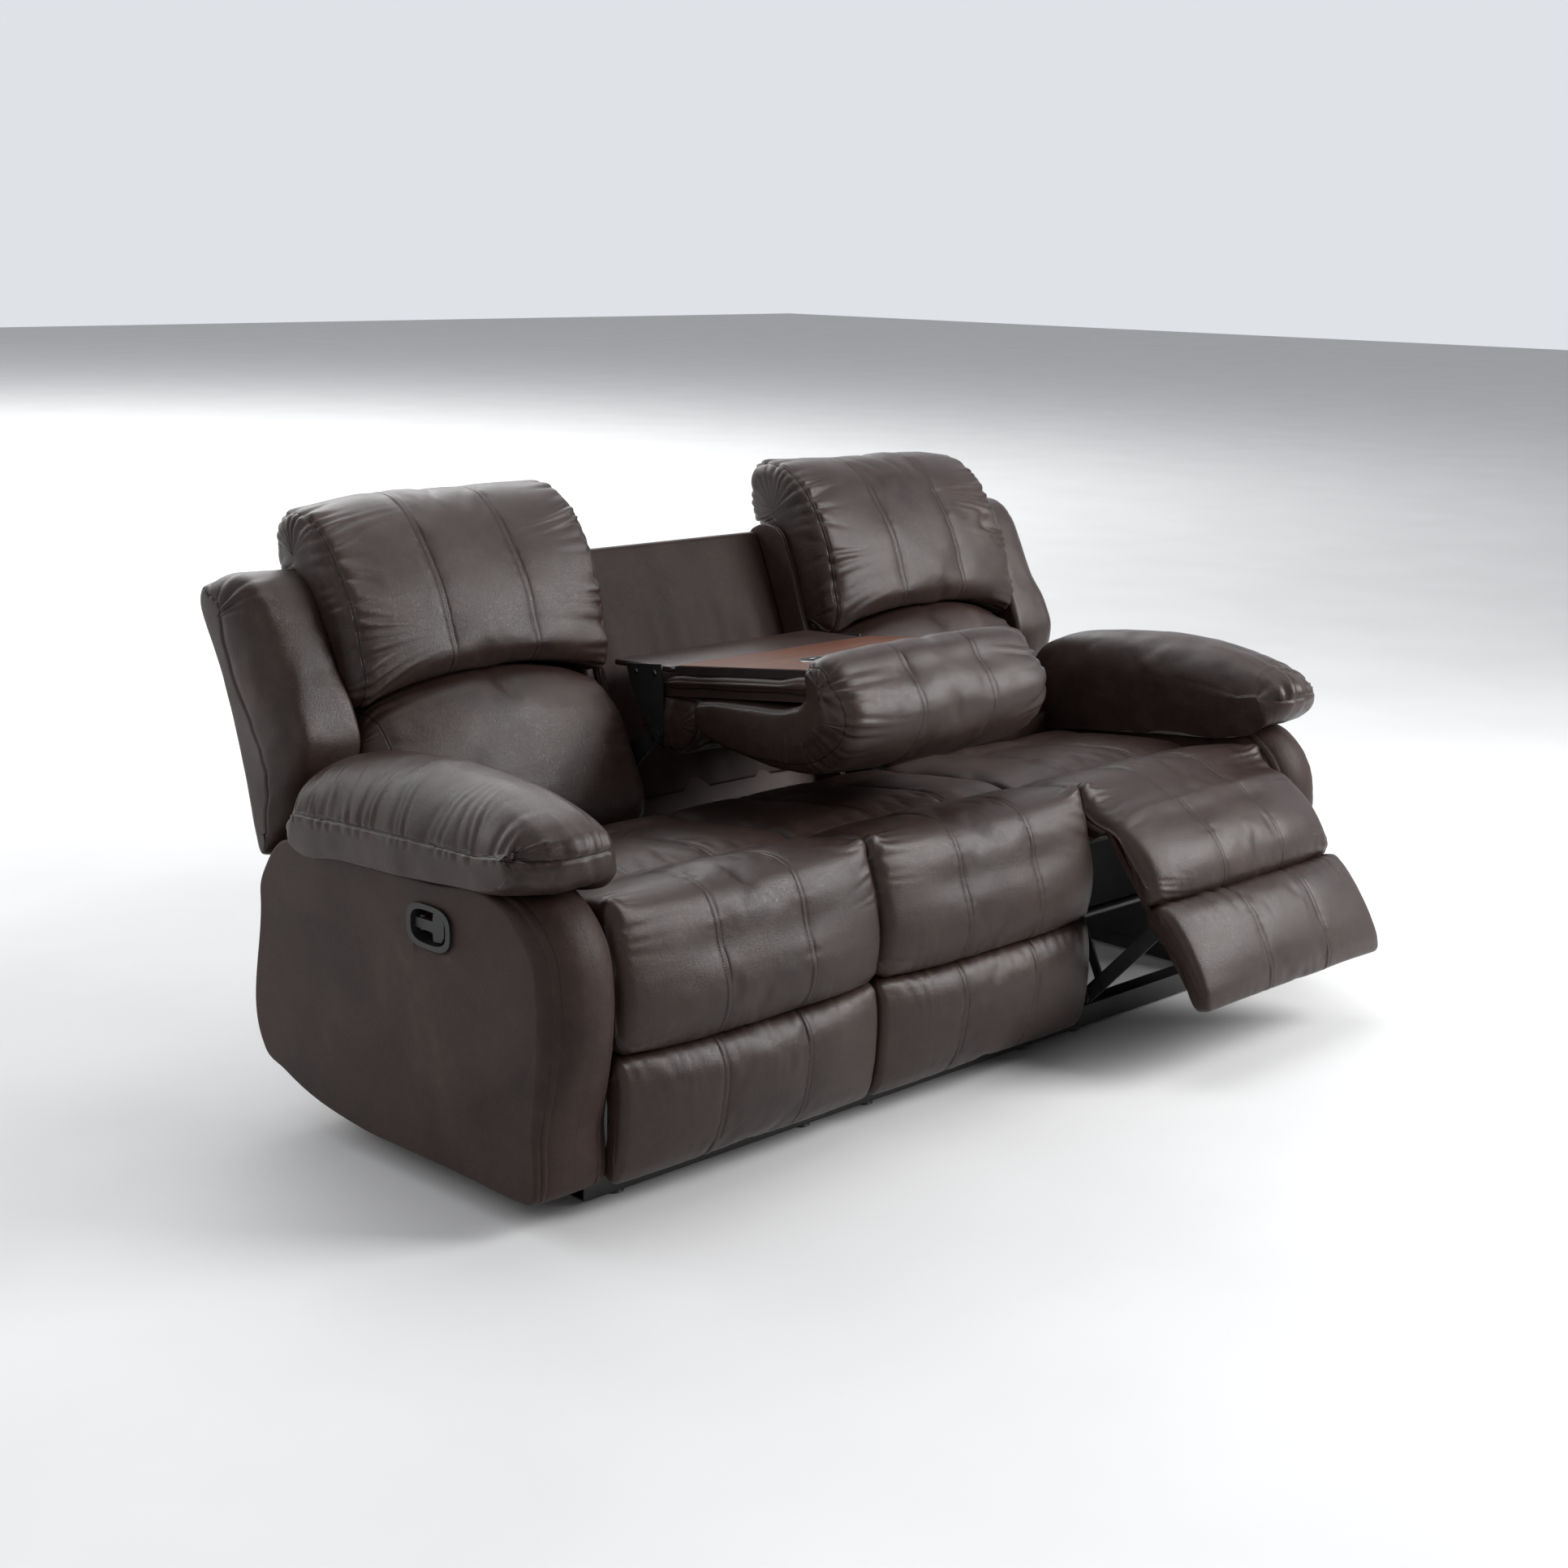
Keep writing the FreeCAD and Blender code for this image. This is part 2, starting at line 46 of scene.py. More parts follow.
# =====================================================================
# camera and light
# =====================================================================
YAW, PITCH, ROLL = math.radians(-44.0017), math.radians(-12.8717), math.radians(0.8142)
el = -PITCH
back = Vector((math.sin(YAW) * math.cos(el), -math.cos(YAW) * math.cos(el), math.sin(el)))
fwd = -back
right = fwd.cross(Vector((0, 0, 1))).normalized()
upv = right.cross(fwd)
rr = right * math.cos(ROLL) + upv * math.sin(ROLL)
uu = -right * math.sin(ROLL) + upv * math.cos(ROLL)
cam_data = bpy.data.cameras.new("camera")
cam = bpy.data.objects.new("camera", cam_data)
bpy.context.scene.collection.objects.link(cam)
cam.matrix_world = Matrix(((rr.x, uu.x, back.x, -3.0919), (rr.y, uu.y, back.y, -2.586 - YC),
                           (rr.z, uu.z, back.z, 1.4886), (0, 0, 0, 1)))
cam_data.sensor_width = 36.0
cam_data.lens = 36.0 * 2882.97 / 1932.0
cam_data.shift_x = (966.0 - 902.70) / 1932.0
cam_data.shift_y = (947.81 - 966.0) / 1932.0
cam_data.dof.use_dof = False
cam_data.clip_end = 60
bpy.context.scene.camera = cam


def area_light(name, loc, target, size, power, size_y=None, color=(1, 1, 1)):
    d = bpy.data.lights.new(name, "AREA")
    d.energy = power
    d.color = color
    d.shape = "RECTANGLE"
    d.size = size
    d.size_y = size_y or size
    o = bpy.data.objects.new(name, d)
    bpy.context.scene.collection.objects.link(o)
    o.location = loc
    o.rotation_euler = (Vector(target) - Vector(loc)).to_track_quat("-Z", "Y").to_euler()
    return o


area_light("key", (2.6, -2.8, 2.6), (0, 0, 0.5), 2.2, 265, 2.2)
area_light("fill", (-4.2, -2.2, 2.4), (0, 0, 0.5), 2.4, 30, 1.6, (1.0, 0.97, 0.94))
area_light("top", (0.6, 0.4, 4.2), (0, 0, 0.4), 2.6, 52, 1.8)
area_light("rim", (0.9, 3.4, 3.4), (0, 0, 0.6), 3.4, 45, 2.0)
area_light("far", (0, 10.0, 6.0), (0, 11.0, 0), 16.0, 1900, 9.0)
world = bpy.data.worlds.new("world")
bpy.context.scene.world = world
world.use_nodes = True
wt = world.node_tree
wtc = wt.nodes.new("ShaderNodeTexCoord")
wsep = wt.nodes.new("ShaderNodeSeparateXYZ")
wramp = wt.nodes.new("ShaderNodeValToRGB")
wramp.color_ramp.interpolation = "EASE"
wramp.color_ramp.elements[0].position = 0.30
wramp.color_ramp.elements[0].color = (0.17, 0.175, 0.185, 1)
wramp.color_ramp.elements[1].position = 0.62
wramp.color_ramp.elements[1].color = (0.74, 0.76, 0.80, 1)
wmap = wt.nodes.new("ShaderNodeMapRange")
wmap.inputs["From Min"].default_value = -1.0
wmap.inputs["From Max"].default_value = 1.0
wt.links.new(wtc.outputs["Generated"], wsep.inputs[0])
wt.links.new(wsep.outputs[1], wmap.inputs["Value"])
wt.links.new(wmap.outputs[0], wramp.inputs[0])
wt.links.new(wramp.outputs[0], wt.nodes["Background"].inputs[0])
wt.nodes["Background"].inputs[1].default_value = 1.0
bpy.context.scene.view_settings.view_transform = "Standard"

# =====================================================================
# materials
# =====================================================================


class NT:
    def __init__(self, name):
        self.m = bpy.data.materials.new(name)
        self.m.use_nodes = True
        self.t = self.m.node_tree
        self.t.nodes.clear()
        self.out = self.t.nodes.new("ShaderNodeOutputMaterial")
        self.b = self.t.nodes.new("ShaderNodeBsdfPrincipled")
        self.link(self.b.outputs[0], self.out.inputs[0])

    def link(self, a, b):
        self.t.links.new(a, b)

    def n(self, kind, **kw):
        nd = self.t.nodes.new(kind)
        for k, v in kw.items():
            setattr(nd, k, v)
        return nd

    def val(self, sock, v):
        if isinstance(v, (int, float, tuple)):
            sock.default_value = v
        else:
            self.link(v, sock)

    def math(self, op, a, b=None, c=None, clamp=False):
        nd = self.n("ShaderNodeMath", operation=op, use_clamp=clamp)
        self.val(nd.inputs[0], a)
        if b is not None:
            self.val(nd.inputs[1], b)
        if c is not None:
            self.val(nd.inputs[2], c)
        return nd.outputs[0]

    def noise(self, vec, scale, detail=2.0, rough=0.5, dist=0.0):
        nd = self.n("ShaderNodeTexNoise")
        nd.inputs["Scale"].default_value = scale
        nd.inputs["Detail"].default_value = detail
        nd.inputs["Roughness"].default_value = rough
        nd.inputs["Distortion"].default_value = dist
        self.link(vec, nd.inputs["Vector"])
        return nd.outputs[0]

    def ramp(self, fac, stops):
        nd = self.n("ShaderNodeValToRGB")
        self.link(fac, nd.inputs[0])
        cr = nd.color_ramp
        while len(cr.elements) < len(stops):
            cr.elements.new(0.5)
        for e, (p, c) in zip(cr.elements, stops):
            e.position = p
            e.color = (c[0], c[1], c[2], 1) if isinstance(c, tuple) else (c, c, c, 1)
        return nd.outputs[0]

    def smooth(self, x, a, b):
        nd = self.n("ShaderNodeMapRange", interpolation_type="SMOOTHSTEP")
        self.val(nd.inputs[0], x)
        nd.inputs[1].default_value = a
        nd.inputs[2].default_value = b
        nd.inputs[3].default_value = 0.0
        nd.inputs[4].default_value = 1.0
        return nd.outputs[0]

    def mixc(self, fac, a, b):
        nd = self.n("ShaderNodeMix", data_type="RGBA")
        self.val(nd.inputs[0], fac)
        for s, v in ((nd.inputs[6], a), (nd.inputs[7], b)):
            if isinstance(v, tuple):
                s.default_value = (v[0], v[1], v[2], 1)
            else:
                self.link(v, s)
        return nd.outputs[2]

    def attr(self, name):
        nd = self.n("ShaderNodeAttribute", attribute_type="GEOMETRY")
        nd.attribute_name = name
        return nd.outputs["Fac"]

    def bump(self, h, strength, distance, prev=None):
        nd = self.n("ShaderNodeBump")
        nd.inputs["Strength"].default_value = strength
        nd.inputs["Distance"].default_value = distance
        self.link(h, nd.inputs["Height"])
        if prev is not None:
            self.link(prev, nd.inputs["Normal"])
        return nd.outputs[0]


def leather(name, seams=False, tone=1.0, rough=0.33, spec=0.30):
    g = NT(name)
    tc = g.n("ShaderNodeTexCoord")
    v = tc.outputs["Object"]
    big = g.noise(v, 5.5, 3.0, 0.55, 0.6)
    mid = g.noise(v, 34.0, 3.0, 0.6, 0.3)
    fine = g.noise(v, 210.0, 2.0, 0.6)
    mixv = g.math("ADD", g.math("MULTIPLY", big, 0.62), g.math("MULTIPLY", mid, 0.30))
    mixv = g.math("ADD", mixv, g.math("MULTIPLY", fine, 0.10))
    k = tone
    col = g.ramp(mixv, [(0.28, (0.0140 * k, 0.0076 * k, 0.0072 * k)), (0.46, (0.0255 * k, 0.0145 * k, 0.0128 * k)),
                        (0.60, (0.0330 * k, 0.0195 * k, 0.0165 * k)), (0.78, (0.0530 * k, 0.0315 * k, 0.0250 * k))])
    vor = g.n("ShaderNodeTexVoronoi", feature="DISTANCE_TO_EDGE")
    vor.inputs["Scale"].default_value = 560.0
    g.link(v, vor.inputs["Vector"])
    cell = g.smooth(vor.outputs["Distance"], 0.0, 0.25)
    micro = g.noise(v, 900.0, 2.0, 0.7)
    wr = g.noise(v, 60.0, 4.0, 0.65, 1.2)
    h = g.math("ADD", g.math("MULTIPLY", cell, 0.55), g.math("MULTIPLY", micro, 0.5))
    h = g.math("ADD", h, g.math("MULTIPLY", wr, 1.6))
    nrm = g.bump(h, 0.36, 0.0007)
    rgh = g.math("ADD", g.math("MULTIPLY", mid, 0.16), g.math("MULTIPLY", fine, 0.10))
    rgh = g.math("ADD", rgh, rough - 0.13)
    if seams:
        sd = g.attr("sd")
        sl = g.attr("sl")
        ad = g.math("ABSOLUTE", sd)
        line = g.math("SUBTRACT", 1.0, g.smooth(g.math("ABSOLUTE", g.math("SUBTRACT", ad, 0.0046)), 0.0004, 0.0012))
        dash = g.math("FRACT", g.math("MULTIPLY", sl, 1.0 / 0.0048))
        dash = g.math("SUBTRACT", 1.0, g.smooth(g.math("ABSOLUTE", g.math("SUBTRACT", dash, 0.5)), 0.30, 0.42))
        stitch = g.math("MULTIPLY", line, dash)
        ed = g.attr("ed")
        elen = g.attr("el")
        ae = g.math("ABSOLUTE", ed)
        crease = g.math("SUBTRACT", 1.0, g.smooth(ae, 0.0006, 0.0022))
        line2 = g.math("SUBTRACT", 1.0, g.smooth(g.math("ABSOLUTE", g.math("SUBTRACT", ed, 0.0035)), 0.0004, 0.0011))
        d2 = g.math("FRACT", g.math("MULTIPLY", elen, 1.0 / 0.0050))
        d2 = g.math("SUBTRACT", 1.0, g.smooth(g.math("ABSOLUTE", g.math("SUBTRACT", d2, 0.5)), 0.30, 0.42))
        stitch2 = g.math("MULTIPLY", line2, d2)
        # painted shade: the stitch grooves and the seam crease are darkened almost to black in the base colour; the
        # same mask also sinks them in the bump below
        groove_and_shade = g.math("MAXIMUM", g.math("MULTIPLY", line, 0.42), g.math("MULTIPLY", crease, 0.75))
        col = g.mixc(groove_and_shade, col, (0.006, 0.004, 0.0035))
        st = g.math("MAXIMUM", stitch, stitch2)
        col = g.mixc(g.math("MULTIPLY", st, 0.8), col, (0.030, 0.020, 0.018))
        hh = g.math("SUBTRACT", g.math("MULTIPLY", st, 0.8), g.math("MULTIPLY", groove_and_shade, 1.2))
        nrm = g.bump(hh, 0.8, 0.0009, nrm)
    g.link(col, g.b.inputs["Base Color"])
    g.link(rgh, g.b.inputs["Roughness"])
    g.b.inputs["Specular IOR Level"].default_value = spec
    g.link(nrm, g.b.inputs["Normal"])
    return g.m


def plain_metal(name, base, rough, metallic=0.0, bump=0.15, scale=420.0, spec=0.5):
    g = NT(name)
    tc = g.n("ShaderNodeTexCoord")
    v = tc.outputs["Object"]
    a = g.noise(v, 30.0, 3.0, 0.6)
    f = g.noise(v, scale, 2.0, 0.6)
    col = g.ramp(a, [(0.3, tuple(c * 0.8 for c in base)), (0.7, tuple(c * 1.25 for c in base))])
    g.link(col, g.b.inputs["Base Color"])
    g.link(g.math("ADD", g.math("MULTIPLY", a, 0.16), rough - 0.08), g.b.inputs["Roughness"])
    g.b.inputs["Metallic"].default_value = metallic
    g.b.inputs["Specular IOR Level"].default_value = spec
    g.link(g.bump(f, bump, 0.0004), g.b.inputs["Normal"])
    return g.m


def wood_top(name):
    g = NT(name)
    tc = g.n("ShaderNodeTexCoord")
    mp = g.n("ShaderNodeMapping")
    mp.inputs["Scale"].default_value = (1.6, 22.0, 22.0)
    g.link(tc.outputs["Object"], mp.inputs[0])
    v = mp.outputs[0]
    a = g.noise(v, 3.0, 5.0, 0.6, 0.8)
    b = g.noise(v, 14.0, 4.0, 0.7, 0.3)
    f = g.noise(v, 60.0, 2.0, 0.6)
    s = g.math("ADD", g.math("MULTIPLY", a, 0.6), g.math("MULTIPLY", b, 0.3))
    s = g.math("ADD", s, g.math("MULTIPLY", f, 0.12))
    col = g.ramp(s, [(0.28, (0.045, 0.014, 0.0075)), (0.5, (0.090, 0.031, 0.0165)), (0.75, (0.140, 0.056, 0.031))])
    g.link(col, g.b.inputs["Base Color"])
    g.link(g.math("ADD", g.math("MULTIPLY", b, 0.2), 0.26), g.b.inputs["Roughness"])
    g.b.inputs["Specular IOR Level"].default_value = 0.22
    g.link(g.bump(s, 0.12, 0.0006), g.b.inputs["Normal"])
    return g.m


def raw_wood(name):
    g = NT(name)
    tc = g.n("ShaderNodeTexCoord")
    mp = g.n("ShaderNodeMapping")
    mp.inputs["Scale"].default_value = (6.0, 6.0, 30.0)
    g.link(tc.outputs["Object"], mp.inputs[0])
    a = g.noise(mp.outputs[0], 4.0, 5.0, 0.6, 0.6)
    col = g.ramp(a, [(0.3, (0.30, 0.19, 0.10)), (0.7, (0.55, 0.39, 0.22))])
    g.link(col, g.b.inputs["Base Color"])
    g.b.inputs["Roughness"].default_value = 0.75
    g.link(g.bump(a, 0.2, 0.0006), g.b.inputs["Normal"])
    return g.m


def dust_fabric(name, base):
    g = NT(name)
    tc = g.n("ShaderNodeTexCoord")
    v = tc.outputs["Object"]
    wx = g.n("ShaderNodeTexWave", wave_type="BANDS", bands_direction="X")
    wx.inputs["Scale"].default_value = 260.0
    wz = g.n("ShaderNodeTexWave", wave_type="BANDS", bands_direction="Z")
    wz.inputs["Scale"].default_value = 260.0
    for w in (wx, wz):
        w.inputs["Distortion"].default_value = 1.0
        g.link(v, w.inputs["Vector"])
    weave = g.math("MULTIPLY", wx.outputs["Fac"], wz.outputs["Fac"])
    a = g.noise(v, 18.0, 4.0, 0.6)
    s = g.math("ADD", g.math("MULTIPLY", weave, 0.35), g.math("MULTIPLY", a, 0.65))
    col = g.ramp(s, [(0.2, tuple(c * 0.7 for c in base)), (0.8, tuple(c * 1.35 for c in base))])
    g.link(col, g.b.inputs["Base Color"])
    g.b.inputs["Roughness"].default_value = 0.9
    g.b.inputs["Sheen Weight"].default_value = 0.2
    g.link(g.bump(s, 0.4, 0.0008), g.b.inputs["Normal"])
    return g.m


def floor_mat():
    g = NT("floor")
    tc = g.n("ShaderNodeTexCoord")
    a = g.noise(tc.outputs["Object"], 2.0, 3.0, 0.5)
    g.link(g.ramp(a, [(0.3, (0.60, 0.60, 0.60)), (0.7, (0.63, 0.63, 0.63))]), g.b.inputs["Base Color"])
    g.b.inputs["Roughness"].default_value = 0.85
    g.b.inputs["Specular IOR Level"].default_value = 0.2
    return g.m


# darker (tone 0.8), less glossy copy of the leather for the drape in the recess behind the console: the lower tone is
# painted shade, the lower gloss is the surface's own
M_RECESS = leather("leather_recess", tone=0.80, rough=0.46, spec=0.10)
M_LEATHER = leather("leather_plain")
M_SEAM = leather("leather_seamed", seams=True)
M_PANEL = leather("leather_panel", seams=True, tone=1.2, rough=0.44, spec=0.16)
M_STEEL = plain_metal("black_steel", (0.012, 0.012, 0.013), 0.38, 0.0, 0.2, 300.0, 0.6)
M_PIN = plain_metal("plated_pin", (0.10, 0.10, 0.105), 0.32, 1.0, 0.1)
M_PLASTIC = plain_metal("black_plastic", (0.010, 0.010, 0.010), 0.46, 0.0, 0.35, 900.0)
M_CUP = plain_metal("cup_plastic", (0.009, 0.009, 0.010), 0.30, 0.0, 0.15, 700.0)
M_EDGE = plain_metal("table_edge", (0.012, 0.009, 0.008), 0.42, 0.0, 0.3, 200.0)
M_TABLE = wood_top("table_wood")
M_RAW = raw_wood("raw_wood")
M_DUST = dust_fabric("dust_fabric", (0.030, 0.032, 0.034))
M_DUST2 = dust_fabric("dust_band", (0.075, 0.080, 0.085))

for n, o in NODES.items():
    if n.startswith("link_") or n.endswith("_brackets") or n == "base_frame" or n in ("seat_left_frame", "seat_right_frame"):
        m = M_STEEL
    elif n.startswith("handle"):
        m = M_PLASTIC
    elif n == "feet":
        m = M_PLASTIC
    elif n == "console_cup_holders":
        m = M_CUP
    elif n == "console_table_top":
        m = M_EDGE
    elif n == "rear_dust_panels":
        m = M_DUST
    elif n == "console_hinge_pins":
        m = M_PIN
    elif n.startswith("back_") and n.endswith("_frame"):
        m = M_STEEL
    else:
        m = M_LEATHER
    o.data.materials.clear()
    o.data.materials.append(m)

# =====================================================================
# number helpers
# =====================================================================


def hash01(i, seed=0):
    h = (np.asarray(i).astype(np.int64) * 374761393 + seed * 668265263) & 0xFFFFFFFF
    h = ((h ^ (h >> 13)) * 1274126177) & 0xFFFFFFFF
    return ((h ^ (h >> 16)) & 0xFFFFFFFF) / 4294967295.0


def noise1(x, seed=0):
    x = np.asarray(x, float)
    i = np.floor(x)
    f = x - i
    f = f * f * (3 - 2 * f)
    return (hash01(i, seed) * (1 - f) + hash01(i + 1, seed) * f) * 2 - 1


def noise3(p, seed=0):
    i = np.floor(p).astype(np.int64)
    f = p - i
    f = f * f * f * (f * (f * 6 - 15) + 10)
    out = 0
    for dx in (0, 1):
        for dy in (0, 1):
            for dz in (0, 1):
                h = hash01((i[..., 0] + dx) * 73856093 ^ (i[..., 1] + dy) * 19349663 ^ (i[..., 2] + dz) * 83492791, seed)
                w = (f[..., 0] if dx else 1 - f[..., 0]) * (f[..., 1] if dy else 1 - f[..., 1]) * (f[..., 2] if dz else 1 - f[..., 2])
                out = out + h * w
    return out * 2 - 1


def sstep(x, a, b):
    t = np.clip((x - a) / (b - a), 0, 1)
    return t * t * (3 - 2 * t)


def spline_closed(ctrl, segs):
    """closed smooth curve through ctrl, with segs[i] samples on each span"""
    c = np.asarray(ctrl, float)
    m = len(c)
    d = np.linalg.norm(np.roll(c, -1, 0) - c, axis=1)
    tan = np.zeros_like(c)
    for i in range(m):
        a = (c[i] - c[i - 1]) / max(d[i - 1], 1e-9)
        b = (c[(i + 1) % m] - c[i]) / max(d[i], 1e-9)
        tan[i] = (a * d[i] + b * d[i - 1]) / (d[i] + d[i - 1])
    out = []
    for i in range(m):
        t = (np.arange(segs[i]) / segs[i])[:, None]
        p0, p1, m0, m1 = c[i], c[(i + 1) % m], tan[i] * d[i], tan[(i + 1) % m] * d[i]
        out.append((2 * t ** 3 - 3 * t ** 2 + 1) * p0 + (t ** 3 - 2 * t ** 2 + t) * m0 + (-2 * t ** 3 + 3 * t ** 2) * p1 + (t ** 3 - t ** 2) * m1)
    return np.concatenate(out)


def near_poly(p, poly):
    """closest points on an open polyline"""
    poly = np.asarray(poly, float)
    best = None
    bd = None
    for a, b in zip(poly[:-1], poly[1:]):
        ab = b - a
        t = np.clip(((p - a) @ ab) / max(ab @ ab, 1e-12), 0, 1)[:, None]
        q = a + ab * t
        dd = np.linalg.norm(p - q, axis=1)
        if best is None:
            best, bd = q, dd
        else:
            k = dd < bd
            best = np.where(k[:, None], q, best)
            bd = np.where(k, dd, bd)
    return best


def rows_for(x0, x1, step, seams, fine=0.0014):
    xs = list(np.linspace(x0, x1, max(2, int(round((x1 - x0) / step)) + 1)))
    for s in seams:
        xs = [x for x in xs if abs(x - s) > 0.0165]
        xs += [s + k for k in (-0.014, -0.0105, -0.0080, -0.0063, -0.0048, -0.0034, -0.0015, 0.0, 0.0015, 0.0034, 0.0048, 0.0063, 0.0080, 0.0105, 0.014)]
    return np.array(sorted(x for x in xs if x0 - 1e-6 <= x <= x1 + 1e-6))


def hermite(xk, Y, x):
    """smooth curve through the rows of Y, given at xk, read at x"""
    m = np.gradient(Y, xk, axis=0)
    i = np.clip(np.searchsorted(xk, x, side="right") - 1, 0, len(xk) - 2)
    d = (xk[i + 1] - xk[i])
    t = (x - xk[i]) / d
    sh = (len(x),) + (1,) * (Y.ndim - 1)
    t, d = t.reshape(sh), d.reshape(sh)
    t2, t3 = t * t, t * t * t
    return Y[i] * (2 * t3 - 3 * t2 + 1) + m[i] * d * (t3 - 2 * t2 + t) + Y[i + 1] * (3 * t2 - 2 * t3) + m[i + 1] * d * (t3 - t2)


class Soft:
    """A closed cushion: a closed profile (a, b) swept along x, ends rounded and closed.
    iw0 and iw1 scale the rounding of each control point at the two ends."""

    def __init__(self, pe, pm, x0, x1, r0, r1, core, seams=(), step=0.0065, pstep=0.0042, power=2.4, crown=0.004, caps=(0.86, 0.86),
                 cap_rings=7, rrings=9, pe1=None, iw0=None, iw1=None, fine_cap=False):
        pe, pm = np.asarray(pe, float), np.asarray(pm, float)
        pe1 = pe if pe1 is None else np.asarray(pe1, float)
        d = np.linalg.norm(np.roll(pm, -1, 0) - pm, axis=1)
        segs = [max(1, int(round(k / pstep))) for k in d]
        E0, E1, Mi = spline_closed(pe, segs), spline_closed(pe1, segs), spline_closed(pm, segs)
        m = len(pm)

        def spread(w):
            if w is None:
                return np.ones(len(Mi))
            out = []
            for i in range(m):
                t = np.arange(segs[i]) / segs[i]
                t = t * t * (3 - 2 * t)
                out.append(w[i] * (1 - t) + w[(i + 1) % m] * t)
            return np.concatenate(out)
        W0, W1 = spread(iw0), spread(iw1)
        self.cols = len(Mi)
        dl = np.linalg.norm(np.roll(Mi, -1, 0) - Mi, axis=1)
        self.s = np.concatenate([[0], np.cumsum(dl)[:-1]])
        self.slen = dl.sum()
        self.first = np.concatenate([[0], np.cumsum(segs)[:-1]])
        xs = rows_for(x0 + r0, x1 - r1, step, seams)
        w = x1 - x0
        left, right_ = [], []
        for k in range(1, rrings + 1):
            ph = math.pi / 2 * k / rrings
            left.append((x0 + r0 - r0 * math.sin(ph), r0 * (1 - math.cos(ph)), 0.0))
            right_.append((x1 - r1 + r1 * math.sin(ph), r1 * (1 - math.cos(ph)), 0.0))
        if fine_cap:
            cfs = [0.01, 0.02, 0.035, 0.055, 0.08, 0.12, 0.18, 0.26, 0.36, 0.48, 0.6, 0.72, 0.84, 0.95]
        else:
            cfs = [k / cap_rings for k in range(1, cap_rings + 1)]
        for c in cfs:
            left.append((x0 - crown * (1 - (1 - c) ** 2), r0, c * caps[0]))
            right_.append((x1 + crown * (1 - (1 - c) ** 2), r1, c * caps[1]))
        rings = [(a, b, c, 0) for a, b, c in reversed(left)]
        rings += [(x, 0.0, 0.0, 1) for x in xs]
        rings += [(a, b, c, 2) for a, b, c in right_]
        self.nleft = len(left)
        self.rr = rrings
        self.nmid = len(xs)
        P = []
        for x, inset, cf, kind in rings:
            t = (min(max(x, x0), x1) - x0) / w
            f = 1 - abs(2 * t - 1) ** power
            base = E0 if t < 0.5 else E1
            q = base * (1 - f) + Mi * f
            if inset > 0 or cf > 0:
                cc = near_poly(q, core)
                dv = cc - q
                L = np.linalg.norm(dv, axis=1)[:, None] + 1e-9
                ww = (W0 if kind == 0 else W1)[:, None]
                q = q + dv / L * np.minimum(inset * ww, L * 0.9)
                q = q + (cc - q) * cf
            P.append(np.column_stack([np.full(len(q), x), q]))
        self.P = np.array(P)
        self.kind = np.array([r[3] for r in rings])
        seg = np.linalg.norm(self.P[1:] - self.P[:-1], axis=2)
        V = np.concatenate([np.zeros((1, self.cols)), np.cumsum(seg, 0)])
        self.V = V - V[self.nleft][None, :]
        self.VR = self.V[self.nleft + self.nmid - 1][None, :]
        self.X = self.P[:, :, 0].copy()
        self.S = np.broadcast_to(self.s[None, :], self.X.shape)
        self.seams = list(seams)
        self.ed = np.full(self.X.shape, 1.0)
        self.el = np.zeros(self.X.shape)

    def at(self, i, f=0.0):
        """arc position of control point i"""
        a = self.s[self.first[i]]
        b = self.s[self.first[i + 1]] if i + 1 < len(self.first) else self.slen
        return a + (b - a) * f

    def normals(self):
        P = self.P
        du = np.roll(P, -1, 1) - np.roll(P, 1, 1)
        dv = np.zeros_like(P)
        dv[1:-1] = P[2:] - P[:-2]
        dv[0] = P[1] - P[0]
        dv[-1] = P[-1] - P[-2]
        n = np.cross(dv, du)
        n /= np.linalg.norm(n, axis=2)[:, :, None] + 1e-12
        mid = self.P[len(P) // 2]
        q = mid[:, 1:]
        area = 0.5 * np.sum(q[:, 0] * np.roll(q[:, 1], -1) - np.roll(q[:, 0], -1) * q[:, 1])
        t = np.roll(q, -1, 0) - q
        out = np.column_stack([np.zeros(len(q)), t[:, 1], -t[:, 0]]) * (1 if area > 0 else -1)
        sgn = np.sign((out * n[len(P) // 2]).sum())
        return n * (sgn if sgn != 0 else 1)

    def push(self, h):
        self.P = self.P + self.normals() * h[:, :, None]

    def folds(self, e, along, lam, L, amp, seed, sharp=0.75, skew=0.45):
        """folds that start at e = 0 and fade with distance e > 0"""
        ee = np.maximum(e, 0)
        ph = along / lam + 0.75 * noise1(along / (lam * 1.7), seed) + 0.30 * noise1(along / (lam * 0.9) + 11.3, seed + 1)
        ph = ph + (ee / lam) * skew * noise1(along / (lam * 3.1) + 5.7, seed + 2)
        k = np.floor(ph)
        fr = ph - k
        a = 0.15 + 1.0 * hash01(k, seed + 3) ** 1.3
        ll = L * (0.40 + 1.1 * hash01(k, seed + 4))
        # neighbours blend so that no step shows where one fold meets the next
        fb = sstep(fr, 0.85, 1.0)
        fa = 1 - sstep(fr, 0.0, 0.15)
        a = a * (1 - 0.5 * fb - 0.5 * fa) + 0.5 * fb * (0.15 + hash01(k + 1, seed + 3) ** 1.3) + 0.5 * fa * (0.15 + hash01(k - 1, seed + 3) ** 1.3)
        ll = ll * (1 - 0.5 * fb - 0.5 * fa) + 0.5 * fb * L * (0.40 + 1.1 * hash01(k + 1, seed + 4)) + 0.5 * fa * L * (0.40 + 1.1 * hash01(k - 1, seed + 4))
        env = (1 - np.exp(-ee / 0.0035)) * np.exp(-(ee / ll) ** 1.3)
        h = a * (np.abs(np.sin(math.pi * fr)) ** sharp - 0.55) * env
        return amp * np.where(e > 0, h, 0)

